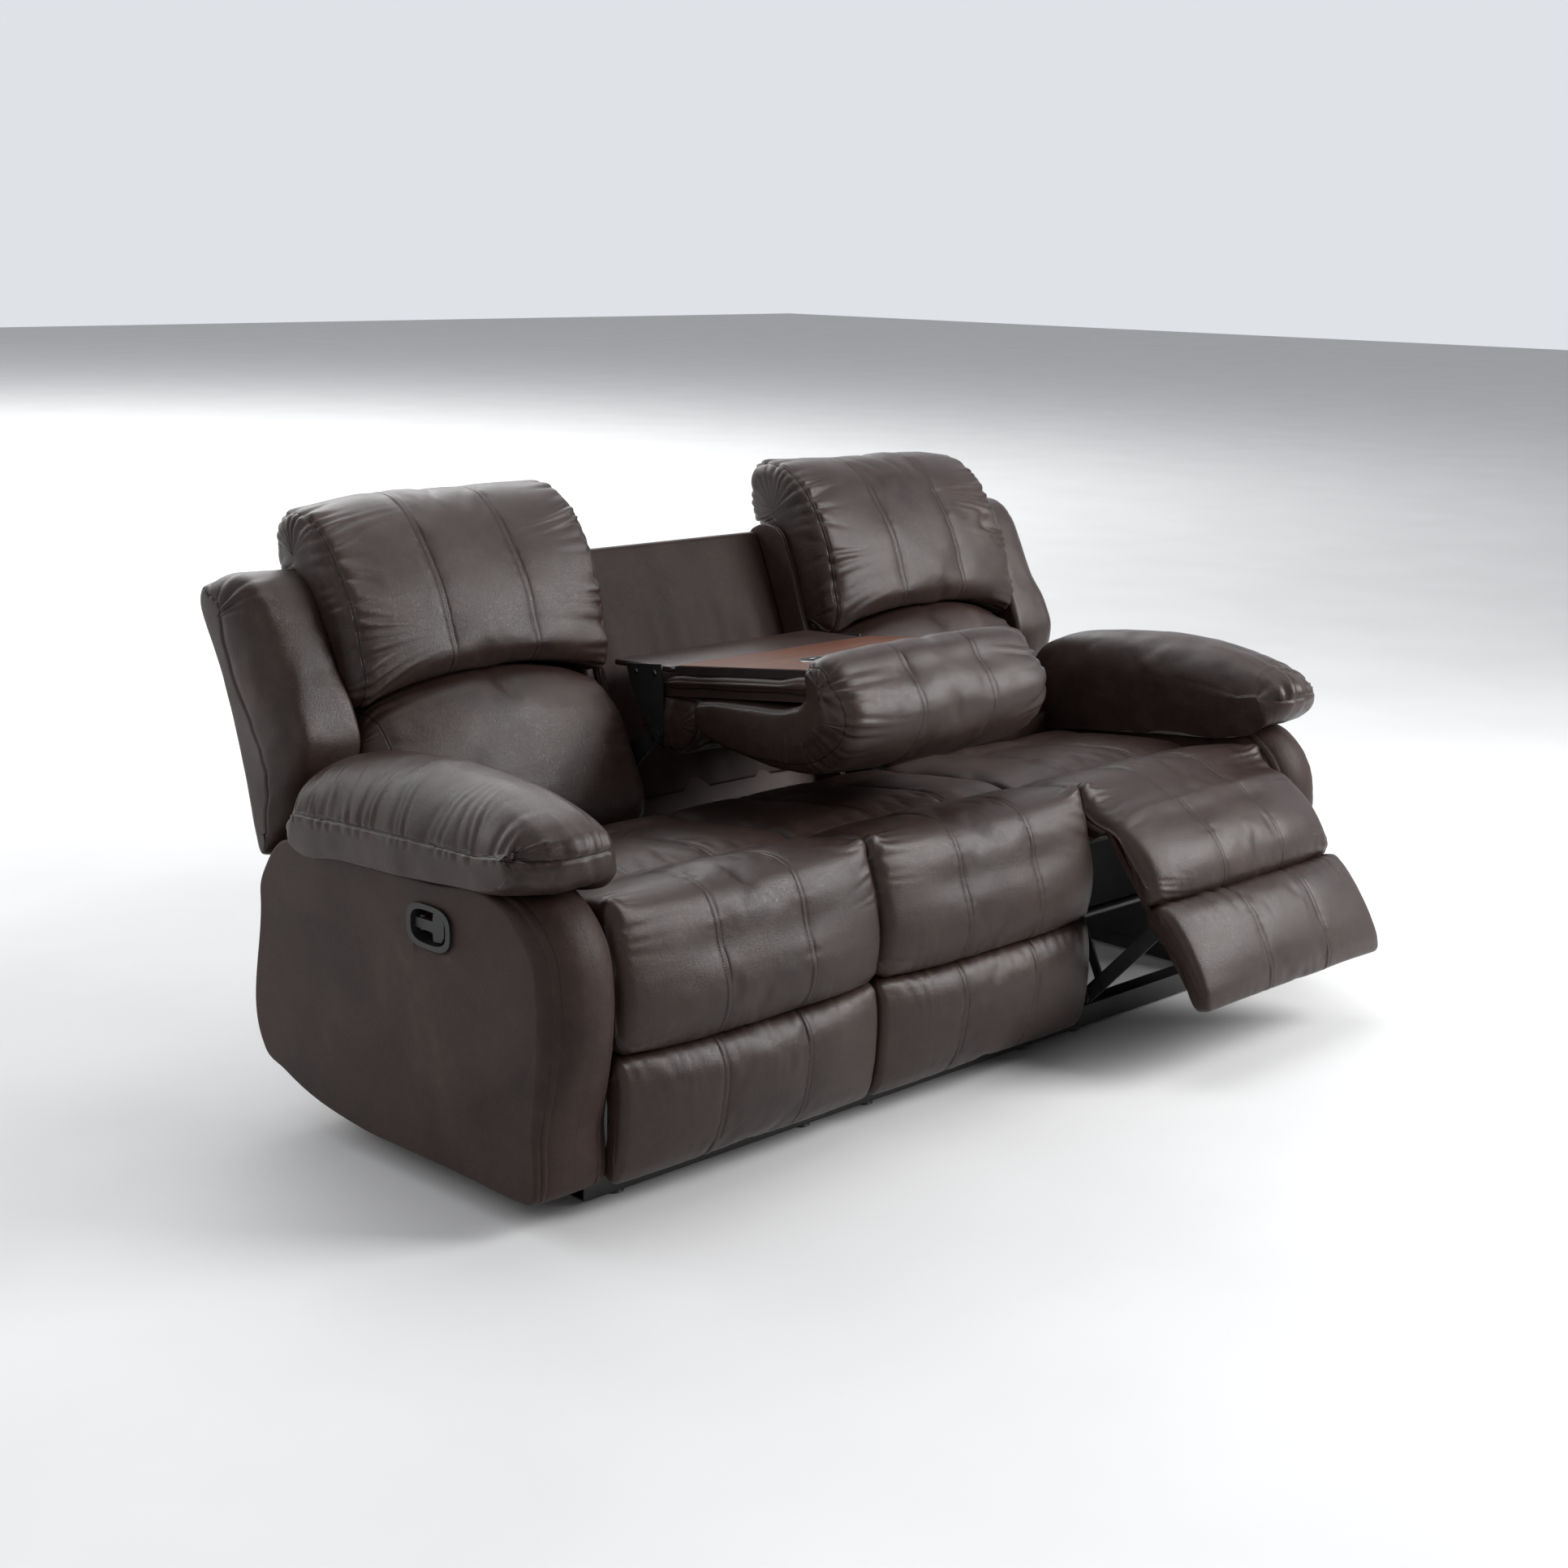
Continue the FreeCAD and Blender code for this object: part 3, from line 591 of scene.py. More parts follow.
    def gather_end(self, side, lam=0.028, L=0.05, amp=0.0055, off=0.0, seed=1, back=0.4, srange=None, gap=0.0032, line=True, sharp=0.75,
                   mask=None):
        e = (self.VR + off - self.V) if side > 0 else (self.V + off)
        out = self.folds(e, self.S, lam, L, amp, seed, sharp)
        if back:
            out = out + self.folds(-e, self.S, lam, L * 0.8, amp * back, seed + 7, sharp)
        m = 1.0
        if srange is not None:
            m = np.zeros(self.X.shape)
            for a0, a1 in srange:
                m = np.maximum(m, sstep(self.S, a0 - 0.03, a0 + 0.01) * (1 - sstep(self.S, a1 - 0.01, a1 + 0.03)))
            out = out * m
        out = out - gap * np.exp(-(e / 0.0032) ** 2)
        if line:
            k = np.abs(e) < np.abs(self.ed)
            if mask is not None:
                k = k & mask
            self.ed = np.where(k, e, self.ed)
            self.el = np.where(k, self.S, self.el)
        return out

    def gather_row(self, s0, lam=0.03, L=0.04, amp=0.004, seed=1, back=0.4, gap=0.0, line=False, mask=None, dirn=1):
        e = (self.S - s0) * dirn
        out = self.folds(e, self.X + 5.0, lam, L, amp, seed) + (self.folds(-e, self.X + 5.0, lam, L * 0.8, amp * back, seed + 5) if back else 0)
        out = out - gap * np.exp(-(e / 0.0032) ** 2)
        if line:
            k = np.abs(e) < np.abs(self.ed)
            if mask is not None:
                k = k & mask
            self.ed = np.where(k, e, self.ed)
            self.el = np.where(k, self.X, self.el)
        return out

    def cloth(self, rows=(), cols=(), fixed=None, slack=None, amount=0.06, pressure=3.0, frames=16, cap=0.020, gap=0.0105, bend=0.6, stiff=18.0):
        """The cover settles as cloth: blown up from inside, held at its seams, with spare leather
        where it is gathered. The shape it takes is carried back to this fine grid."""
        nr, nc = self.P.shape[:2]
        lo, hi = self.nleft - self.rr, self.nleft + self.nmid + self.rr - 1
        keep_r = {lo, hi} | {r for r, w_ in rows}
        vm = self.V.mean(1)
        last = vm[lo]
        for r in range(lo, hi + 1):
            nxt = min([k for k in keep_r if k > r], default=hi)
            if r in keep_r:
                last = vm[r]
            elif vm[r] - last >= gap and vm[nxt] - vm[r] > gap * 0.6:
                keep_r.add(r)
                last = vm[r]
        ri = sorted(keep_r)
        near = [(int(np.argmin(np.abs(self.s - s0))), w_) for s0, w_ in cols]
        keep_c = {c for c, w_ in near} | {0}
        last = 0.0
        for c in range(nc):
            nxt = min([self.s[k] for k in keep_c if k > c], default=self.slen)
            if c in keep_c:
                last = self.s[c]
            elif self.s[c] - last >= gap and nxt - self.s[c] > gap * 0.6:
                keep_c.add(c)
                last = self.s[c]
        ci = sorted(keep_c)
        Q = self.P[np.ix_(ri, ci)]
        n, m = len(ri), len(ci)
        idx = np.arange(n * m).reshape(n, m)
        f = np.stack([idx[:-1], np.roll(idx[:-1], -1, 1), np.roll(idx[1:], -1, 1), idx[1:]], -1).reshape(-1, 4).tolist()
        f.append(idx[0][::-1].tolist())
        f.append(idx[-1].tolist())
        ob = new_object("cloth_work", Q.reshape(-1, 3).tolist(), f, M_LEATHER)
        W = np.zeros((n, m))
        W[0] = W[-1] = 1
        for r, w_ in rows:
            k = ri.index(r)
            W[k] = np.maximum(W[k], w_)
        for c, w_ in near:
            k = ci.index(c)
            W[:, k] = np.maximum(W[:, k], w_)
        if fixed is not None:
            W = np.where(fixed[np.ix_(ri, ci)], 1.0, W)
        G = np.zeros((n, m)) if slack is None else np.clip(slack[np.ix_(ri, ci)], 0, 1)
        for nm, arr in (("pin", W), ("slack", G)):
            vg = ob.vertex_groups.new(name=nm)
            for i, w_ in enumerate(arr.ravel()):
                if w_ > 0:
                    vg.add([i], float(w_), "REPLACE")
        md = ob.modifiers.new("cloth", "CLOTH")
        st = md.settings
        st.quality = 5
        st.mass = 0.3
        st.air_damping = 1.5
        st.tension_stiffness = st.compression_stiffness = stiff
        st.shear_stiffness = stiff * 0.4
        st.bending_stiffness = bend
        st.tension_damping = st.compression_damping = 8.0
        st.use_pressure = True
        st.uniform_pressure_force = pressure
        st.vertex_group_mass = "pin"
        st.pin_stiffness = 1.0
        st.vertex_group_shrink = "slack"
        st.shrink_min = -0.004
        st.shrink_max = -amount
        st.effector_weights.gravity = 0.0
        md.collision_settings.use_collision = False
        md.point_cache.frame_start = 1
        md.point_cache.frame_end = frames
        sc = bpy.context.scene
        for k in range(1, frames + 1):
            sc.frame_set(k)
        ev = ob.evaluated_get(bpy.context.evaluated_depsgraph_get())
        co = np.empty(n * m * 3)
        ev.data.vertices.foreach_get("co", co)
        D = co.reshape(n, m, 3) - Q
        bpy.data.objects.remove(ob)
        sc.frame_set(1)
        L = np.linalg.norm(D, axis=2)[:, :, None] + 1e-9
        D = D / L * cap * np.tanh(L / cap)
        # sideways drift is damped: the seams stay where they are
        D = 0.5 * D + 0.25 * (np.roll(D, 1, 1) + np.roll(D, -1, 1)) * 1.0
        De = np.concatenate([D[:, -3:], D, D[:, :3]], 1)
        sk = self.s[ci]
        se = np.concatenate([sk[-3:] - self.slen, sk, sk[:3] + self.slen])
        Dc = hermite(se, De.transpose(1, 0, 2), self.s).transpose(1, 0, 2)
        Df = hermite(np.array(ri, float), Dc, np.arange(lo, hi + 1, dtype=float))
        self.P[lo:hi + 1] += Df
        self.stat = (n, m, float(np.abs(D).max()))

    def ring(self, side, off, w_):
        """row of the grid that lies off beyond the last straight row"""
        vm = self.V.mean(1)
        v0 = vm[self.nleft + self.nmid - 1] + off if side > 0 else -off
        return (int(np.argmin(np.abs(vm - v0))), w_)

    def end_slack(self, off, L=0.06):
        e = np.minimum(self.V + off, self.VR + off - self.V)
        return 1 - sstep(e, 0.0, L)

    def row_slack(self, s0, L=0.05):
        return 1 - sstep(np.abs(self.S - s0), 0.0, L)

    def seam_rows(self, w_=0.9):
        return [(self.nleft + int(np.argmin(np.abs(self.X[self.nleft:self.nleft + self.nmid, 0] - s))), w_) for s in self.seams]

    def seam_bands(self, depth=0.0022, wide=0.020):
        h = np.zeros(self.X.shape)
        inner = (self.kind == 1)[:, None]
        for s in self.seams:
            d = np.abs(self.X - s)
            g = -depth * np.exp(-(d / wide) ** 2) + 0.0014 * np.exp(-(d / 0.0050) ** 4) - 0.0010 * np.exp(-((d - 0.0050) / 0.0013) ** 2)
            # short puckers where the thread pulls the leather
            pk = 0.0007 * noise1(self.S / 0.011, 91 + int(abs(s) * 1000)) * np.exp(-((d - 0.010) / 0.008) ** 2)
            h += np.where(inner, g + pk, 0)
        return h

    def panel_crown(self, amp):
        """each panel between seams bulges a little"""
        edges = [self.P[self.nleft, 0, 0]] + self.seams + [self.P[self.nleft + self.nmid - 1, 0, 0]]
        X = self.X
        h = np.zeros(X.shape)
        for a, b in zip(edges[:-1], edges[1:]):
            t = np.clip((X - a) / (b - a), 0, 1)
            h += np.where((X >= a) & (X <= b), amp * np.sqrt(np.maximum(0, 4 * t * (1 - t))), 0)
        return h

    def undulate(self, amp, scale, seed=3, aniso=(1, 1, 1)):
        return amp * noise3(self.P * np.array(aniso) * scale, seed)

    def build(self, name, mat, mirror=False):
        verts = self.P.reshape(-1, 3).copy()
        rows, cols = self.P.shape[:2]
        verts[:, 1] -= YC
        X = self.X
        sd = np.full(X.shape, 1.0)
        for s in self.seams:
            d = X - s
            sd = np.where(np.abs(d) < np.abs(sd), d, sd)
        sd = np.where((self.kind == 1)[:, None], sd, 1.0)
        if mirror:
            verts[:, 0] *= -1
        idx = np.arange(rows * cols).reshape(rows, cols)
        a = idx[:-1]
        b = idx[1:]
        q = np.stack([a, np.roll(a, -1, 1), np.roll(b, -1, 1), b], -1).reshape(-1, 4)
        faces = q.tolist()
        faces.append(idx[0][::-1].tolist())
        faces.append(idx[-1].tolist())
        me = bpy.data.meshes.new(name)
        me.from_pydata(verts.tolist(), [], faces)
        for nm, arr in (("sd", sd), ("sl", self.S), ("ed", self.ed), ("el", self.el)):
            at = me.attributes.new(nm, "FLOAT", "POINT")
            at.data.foreach_set("value", np.ascontiguousarray(arr, dtype=np.float32).ravel())
        bm = bmesh.new()
        bm.from_mesh(me)
        bmesh.ops.triangulate(bm, faces=[f for f in bm.faces if len(f.verts) > 4])
        bmesh.ops.recalc_face_normals(bm, faces=bm.faces)
        bm.to_mesh(me)
        bm.free()
        me.polygons.foreach_set("use_smooth", [True] * len(me.polygons))
        ob = bpy.data.objects.new(name, me)
        bpy.context.scene.collection.objects.link(ob)
        me.materials.append(mat)
        return ob


def finish_piece(ob, body, nodes=()):
    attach(ob, body)
    if nodes:
        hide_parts(*nodes)
    return ob


def mm(pts):
    return np.array(pts, float) / 1000.0


def rk(u, w):
    """point on the raked back: u up its rear face, w forward from it (mm)"""
    return (700 + u * 0.353 - w * 0.9356, 458 + u * 0.9356 + w * 0.353)


TA = math.radians(6.67)


def tb(s, n):
    """point on the folded table: s to the rear, n up from its top face (mm)"""
    return (500 + s * math.cos(TA) + n * math.sin(TA), 722 - s * math.sin(TA) + n * math.cos(TA))


def new_object(name, verts, faces, mat, smooth=True, attrs=None):
    me = bpy.data.meshes.new(name)
    me.from_pydata([tuple(v) for v in verts], [], [tuple(f) for f in faces])
    bm = bmesh.new()
    bm.from_mesh(me)
    bmesh.ops.triangulate(bm, faces=[f for f in bm.faces if len(f.verts) > 4])
    bmesh.ops.recalc_face_normals(bm, faces=bm.faces)
    bm.to_mesh(me)
    bm.free()
    if smooth:
        me.polygons.foreach_set("use_smooth", [True] * len(me.polygons))
    ob = bpy.data.objects.new(name, me)
    bpy.context.scene.collection.objects.link(ob)
    me.materials.append(mat)
    return ob


def tube(name, pts, r, mat, sides=10, closed_ends=True):
    """round cord along points in row-frame metres"""
    p = np.asarray(pts, float)
    t = np.gradient(p, axis=0)
    t /= np.linalg.norm(t, axis=1)[:, None]
    ref = np.array([1.0, 0.0, 0.0]) if abs(t[0][0]) < 0.9 else np.array([0, 0, 1.0])
    verts, faces = [], []
    for i in range(len(p)):
        a = np.cross(t[i], ref)
        a /= np.linalg.norm(a)
        b = np.cross(t[i], a)
        for k in range(sides):
            q = 2 * math.pi * k / sides
            verts.append(p[i] + r * (math.cos(q) * a + math.sin(q) * b))
    for i in range(len(p) - 1):
        for k in range(sides):
            j = (k + 1) % sides
            faces.append((i * sides + k, i * sides + j, (i + 1) * sides + j, (i + 1) * sides + k))
    faces.append(tuple(range(sides))[::-1])
    faces.append(tuple((len(p) - 1) * sides + k for k in range(sides)))
    return new_object(name, verts, faces, mat)


def shell(name, fun, nu, nv, t, mat):
    """thin closed sheet over a grid of points"""
    g = np.array([[fun(i / nu, j / nv) for i in range(nu + 1)] for j in range(nv + 1)], float)
    du = np.gradient(g, axis=1)
    dv = np.gradient(g, axis=0)
    n = np.cross(du, dv)
    n /= np.linalg.norm(n, axis=2)[:, :, None]
    a = (g + n * t / 2).reshape(-1, 3)
    b = (g - n * t / 2).reshape(-1, 3)
    N = len(a)
    verts = np.concatenate([a, b])
    faces = []
    w = nu + 1
    for j in range(nv):
        for i in range(nu):
            k = j * w + i
            faces.append((k, k + 1, k + 1 + w, k + w))
            faces.append((N + k, N + k + w, N + k + 1 + w, N + k + 1))
    edge = [i for i in range(w)] + [j * w + nu for j in range(1, nv + 1)] + [nv * w + i for i in range(nu - 1, -1, -1)] + [j * w for j in range(nv - 1, 0, -1)]
    for k in range(len(edge)):
        p, q = edge[k], edge[(k + 1) % len(edge)]
        faces.append((q, p, N + p, N + q))
    return new_object(name, verts, faces, mat)


def ring_lathe(name, prof, centre, axis, mat, seg=64):
    """closed ring profile (r, h) turned round an axis"""
    ax = Vector(axis).normalized()
    e1 = Vector((1, 0, 0))
    e1 = (e1 - ax * e1.dot(ax)).normalized()
    e2 = ax.cross(e1)
    verts, faces = [], []
    m = len(prof)
    for k in range(seg):
        q = 2 * math.pi * k / seg
        d = e1 * math.cos(q) + e2 * math.sin(q)
        for r, h in prof:
            verts.append(Vector(centre) + d * r + ax * h)
    for k in range(seg):
        j = (k + 1) % seg
        for i in range(m):
            n = (i + 1) % m
            faces.append((k * m + i, k * m + n, j * m + n, j * m + i))
    return new_object(name, verts, faces, mat)


def dome(name, centre, r, h, sx, mat, seg=20, rings=5):
    """rivet head whose flat side faces -sx"""
    verts, faces = [], []
    c = Vector(centre)
    for i in range(rings):
        a = math.pi / 2 * i / rings
        for k in range(seg):
            q = 2 * math.pi * k / seg
            verts.append((c.x + sx * h * math.sin(a), c.y + r * math.cos(a) * math.cos(q), c.z + r * math.cos(a) * math.sin(q)))
    verts.append((c.x + sx * h, c.y, c.z))
    for i in range(rings - 1):
        for k in range(seg):
            j = (k + 1) % seg
            faces.append((i * seg + k, i * seg + j, (i + 1) * seg + j, (i + 1) * seg + k))
    top = rings * seg
    for k in range(seg):
        faces.append(((rings - 1) * seg + k, (rings - 1) * seg + (k + 1) % seg, top))
    faces.append(tuple(range(seg))[::-1])
    return new_object(name, verts, faces, mat)


SIDES = (("right", False), ("left", True))

# =====================================================================
# backs
# =====================================================================
HR_I = mm([(884, 985), (880, 1018), (850, 1033), (805, 1031), (752, 1006), (706, 956), (668, 885), (646, 800), (634, 738), (642, 702),
           (690, 688), (748, 705), (795, 820), (834, 905), (866, 908)])
HR_O = mm([(876, 965), (871, 992), (845, 1008), (805, 1009), (756, 987), (709, 937), (665, 868), (642, 790), (630, 728), (641, 692),
           (690, 682), (748, 705), (795, 820), (834, 905), (864, 908)])
HR_M = mm([(886, 990), (878, 1012), (849, 1032), (800, 1033), (746, 1006), (698, 952), (650, 884), (623, 816), (611, 772), (628, 747),
           (684, 738), (748, 740), (795, 820), (834, 905), (868, 910)])
HR_CORE = mm([(800, 940), (770, 880), (710, 760), (690, 730)])
LB_E = mm([(700, 676), (660, 672), (628, 664), (593, 640), (559, 592), (526, 532), (508, 482), (514, 446), (560, 434), (662, 452),
           (690, 530), (725, 620), (750, 682)])
LB_M = mm([(700, 722), (655, 734), (611, 724), (573, 674), (534, 598), (500, 532), (481, 477), (490, 441), (550, 429), (662, 452),
           (690, 530), (725, 620), (750, 716)])
LB_CORE = mm([(660, 630), (640, 560), (600, 480)])
WG = mm([rk(-4, -3), (672, 488), (650, 560), (624, 620), (619, 655), (636, 702), (675, 766), (714, 836), (744, 886), (774, 912),
         (810, 921), (843, 912), rk(468, 0), rk(300, -3), rk(150, -4)])
WG_W = [0.2, 0.5, 0.8, 1.3, 1.6, 1.8, 1.9, 1.8, 1.5, 1.15, 0.9, 0.6, 0.12, 0.06, 0.06]
WG_CORE = mm([(700, 496), (738, 602), (828, 842)])
SHELL = mm([rk(-132, -2.2), rk(150, -2.6), rk(445, -2.2), rk(461, 4), rk(465, 15), rk(461, 27), rk(445, 31.8), rk(150, 32), rk(-118, 31.8),
            rk(-131, 27), rk(-135, 12)])
SHELL_CORE = mm([rk(-115, 15), rk(445, 15)])
STRIP = mm([rk(-60, -1), rk(200, -1.5), rk(440, -1.5), rk(458, 8), rk(463, 34), rk(455, 64), rk(432, 84), rk(400, 91), rk(200, 90),
            rk(0, 80), rk(-50, 66), rk(-66, 30)])
STRIP_CORE = mm([rk(-40, 34), rk(420, 40)])

for side, mir in SIDES:
    seed = 11 if mir else 31
    body = "back_" + side
    a = Soft(HR_I, HR_M, 0.2905, 0.8690, 0.032, 0.036, HR_CORE, seams=(0.486, 0.672), power=2.6, pe1=HR_O)
    a.cloth(rows=a.seam_rows(0.7) + [a.ring(-1, 0.026, 0.8), a.ring(1, 0.026, 0.8)], fixed=a.S > a.at(9, 0.5),
            slack=a.end_slack(0.026, 0.075), amount=0.10, pressure=2.0, cap=0.014)
    h = a.panel_crown(0.0012) + a.undulate(0.0022, 6.0, seed) + a.undulate(0.0009, 22.0, seed + 2)
    h += a.gather_end(1, lam=0.027, L=0.052, amp=0.0150, off=0.018, seed=seed + 5, back=0.6)
    h += a.gather_end(-1, lam=0.029, L=0.045, amp=0.0140, off=0.018, seed=seed + 6, back=0.6)
    a.push(h)
    a.push(a.seam_bands(0.0010, 0.014))
    ob = a.build("headrest_" + side, M_SEAM, mir)
    finish_piece(ob, body, ("back_%s_headrest_pad" % side,))
    a = Soft(LB_E, LB_M, 0.2985, 0.8640, 0.050, 0.055, LB_CORE, power=2.2)
    a.cloth(rows=[a.ring(-1, 0.026, 0.8), a.ring(1, 0.026, 0.8)], fixed=a.S > a.at(8), slack=a.end_slack(0.026, 0.080), amount=0.08,
            pressure=1.6, cap=0.014)
    h = a.undulate(0.0036, 6.0, seed + 21) + a.undulate(0.0014, 20.0, seed + 22)
    h += a.gather_end(1, lam=0.030, L=0.050, amp=0.0120, off=0.026, seed=seed + 25, back=0.35)
    h += a.gather_end(-1, lam=0.040, L=0.040, amp=0.0055, off=0.026, seed=seed + 26, back=0.35)
    a.push(h)
    ob = a.build("lumbar_" + side, M_SEAM, mir)
    finish_piece(ob, body, ("back_%s_lumbar_pad" % side,))
    a = Soft(WG, WG, 0.8660, 1.0150, 0.010, 0.050, WG_CORE, power=8, step=0.006, crown=0.0005, caps=(0.8, 0.8), iw1=WG_W, rrings=14,
             fine_cap=True)
    a.VR = a.V[a.nleft + a.nmid + 13][None, :]
    a.cloth(fixed=(a.S > a.at(11, 0.6)) | (a.S < a.at(1)), slack=sstep(a.S, a.at(7), a.at(9)) * a.end_slack(0.060, 0.09), amount=0.08,
            pressure=0.8, cap=0.008)
    h = a.undulate(0.0022, 9.0, seed + 31) + a.undulate(0.0010, 25.0, seed + 32)
    h += a.gather_end(1, lam=0.028, L=0.060, amp=0.0100, off=0.0, seed=seed + 35, back=0.0, srange=((a.at(8), a.at(11)),), gap=0.0020)
    a.push(h)
    ob = a.build("wing_" + side, M_SEAM, mir)
    finish_piece(ob, body, ("back_%s_wing_pad" % side,))
    a = Soft(SHELL, SHELL, 0.2915, 0.8618, 0.005, 0.004, SHELL_CORE, power=8, step=0.012, pstep=0.009, crown=0.0, caps=(0.9, 0.9), rrings=4)
    a.push(a.undulate(0.0012, 6.0, seed + 41))
    ob = a.build("back_shell_" + side, M_PANEL, mir)
    finish_piece(ob, body, ("back_%s_rear_panel" % side,))
    a = Soft(STRIP, STRIP, 0.2908, 0.3130, 0.006, 0.008, STRIP_CORE, power=8, step=0.006, pstep=0.007, crown=0.001, caps=(0.9, 0.9), rrings=4,
             fine_cap=True)
    a.VR = a.V[a.nleft + a.nmid + 3][None, :]
    a.push(a.undulate(0.0010, 9.0, seed + 43))
    ob = a.build("back_inner_side_" + side, M_PANEL, mir)
    finish_piece(ob, body)

# =====================================================================
# recess behind the console
# =====================================================================
RWALL = mm([rk(-118, 2), rk(200, 2), rk(444, 2), rk(462, 8), rk(468, 32), rk(462, 64), rk(444, 84), rk(412, 92.5), rk(200, 93), rk(0, 93),
            rk(-118, 90)])
RW_CORE = mm([rk(-100, 40), rk(430, 44)])
for side, mir in SIDES:
    a = Soft(RWALL, RWALL, 0.2702, 0.2872, 0.004, 0.003, RW_CORE, power=8, step=0.006, pstep=0.007, crown=0.0, caps=(0.9, 0.9), rrings=4)
    a.push(a.undulate(0.0008, 9.0, 47))
    ob = a.build("recess_wall_" + side, M_PANEL, mir)
    finish_piece(ob, "base")
    sg = -1 if mir else 1
    for i, off in enumerate((0.2738, 0.2805)):
        path = [(sg * off, p[0] / 1000 - YC, p[1] / 1000) for p in
                [rk(u, 94.0) for u in np.linspace(-60, 405, 40)] + [rk(412 + 50 * math.sin(t), 44.5 + 50 * math.cos(t) - 0.5) for t in np.linspace(0.1, 1.5, 14)]]
        ob = tube("recess_welt_%s_%d" % (side, i + 1), path, 0.0034, M_LEATHER)
        finish_piece(ob, "base")


def drape(u, v):
    """vinyl that wraps over the top rail and hangs in loose upright folds; v runs down"""
    x = -0.2655 + 0.531 * u
    L = v * 540.0
    if L < 50:
        t = L / 50.0
        q = rk(452 + 6 * math.sin(math.pi * t), -1.5 + 30.5 * t) if t < 0.9 else rk(452 + 6 * math.sin(math.pi * t), -1.5 + 30.5 * t)
    else:
        d = L - 50
        q = rk(452 - d, 29.0 + 5 * (1 - math.exp(-d / 30.0)))
    k = float(sstep(np.array(L), 60.0, 260.0))
    amp = 0.0075 * k
    f = 0.55 * math.sin(x * 34 + 0.8) + 0.45 * math.sin(x * 71 + 2.1 + 0.6 * v) + 0.35 * math.sin(x * 19 - 0.4)
    f += 1.5 * math.exp(-((x - 0.205 + 0.02 * v) / 0.030) ** 2) - 1.0 * math.exp(-((x + 0.215) / 0.035) ** 2)
    q = (q[0] / 1000 - 0.9356 * amp * (f * 0.5 + 0.8), q[1] / 1000 + 0.353 * amp * (f * 0.5 + 0.8))
    return (x, q[0] - YC, q[1])


ob = shell("recess_drape", drape, 110, 110, 0.0024, M_RECESS)
finish_piece(ob, "base")
CRP = mm([rk(-131, -2.2), rk(150, -2.6), rk(448, -2.2), rk(460, 0.5), rk(460, 3.5), rk(448, 4.2), rk(150, 4.2), rk(-131, 4.2)])
a = Soft(CRP, CRP, -0.2880, 0.2880, 0.002, 0.002, mm([rk(-125, 1), rk(450, 1)]), power=8, step=0.012, pstep=0.009, crown=0.0, caps=(0.9, 0.9), rrings=3)
a.push(a.undulate(0.0010, 6.0, 49))
ob = a.build("centre_back_skin", M_PANEL)
finish_piece(ob, "base", ("centre_rear_panel",))


def dust(x0, x1, y, z0, z1, seed):
    def f(u, v):
        x = x0 + (x1 - x0) * u
        z = z0 + (z1 - z0) * v
        w = 0.0022 * math.sin(x * 31 + seed) * math.sin(v * 3.1) + 0.0014 * math.sin(x * 67 + v * 5 + seed)
        return (x, y + w - YC, z)
    return f


ob = shell("dust_cloth_centre", dust(-0.2835, 0.2835, 0.7335, 0.100, 0.430, 1.0), 60, 30, 0.0016, M_DUST)
finish_piece(ob, "base", ("rear_dust_panels",))
ob = shell("dust_cloth_right", dust(0.302, 0.860, 0.7010, 0.100, 0.311, 2.0), 60, 20, 0.0016, M_DUST)
finish_piece(ob, "base")
ob = shell("dust_cloth_left", dust(-0.860, -0.302, 0.7010, 0.100, 0.311, 3.0), 60, 20, 0.0016, M_DUST)
finish_piece(ob, "base")
ob = shell("dust_cloth_hem", dust(-0.2835, 0.2835, 0.7318, 0.396, 0.437, 1.0), 60, 6, 0.0016, M_DUST2)
finish_piece(ob, "base")
ob = shell("dust_cloth_foot", lambda u, v: (-0.2835 + 0.567 * u, 0.682 + 0.045 * v - YC, 0.1020 + 0.0012 * math.sin(u * 40)), 60, 6, 0.003, M_DUST)
finish_piece(ob, "base")

# =====================================================================
# seats: cushion, knee roll and upper front puff are one cover
# =====================================================================
ST_M = mm([(500, 441), (400, 461), (270, 478), (190, 483), (150, 477), (110, 487), (60, 500), (10, 502), (-28, 487), (-50, 455), (-62, 410),
           (-78, 370), (-86, 335), (-79, 296), (-58, 264), (-30, 254), (-13, 260), (-13, 350), (-13, 440), (4, 452), (14, 412),
           (60, 407), (300, 407), (496, 407)])
ST_E = mm([(500, 439), (400, 457), (270, 472), (190, 477), (150, 471), (110, 481), (60, 494), (12, 500), (-12, 494), (-30, 462), (-44, 420),
           (-54, 380), (-57, 345), (-53, 302), (-45, 274), (-30, 264), (-13, 266), (-13, 350), (-13, 440), (4, 450), (14, 412),
           (60, 408), (300, 408), (496, 408)])
ST_CORE = mm([(480, 425), (60, 452), (-10, 462), (-32, 400), (-36, 300)])
LP_M = mm([(-13, 258), (-36, 258), (-60, 249), (-76, 226), (-81, 190), (-77, 150), (-67, 104), (-51, 70), (-30, 52), (-12, 56), (-12, 150)])
LP_E = mm([(-13, 260), (-30, 260), (-43, 254), (-50, 234), (-54, 200), (-54, 160), (-50, 112), (-38, 66), (-25, 50), (-12, 53), (-12, 150)])
LP_CORE = mm([(-30, 225), (-32, 90)])
FOOT_P = (-0.035, 0.510)


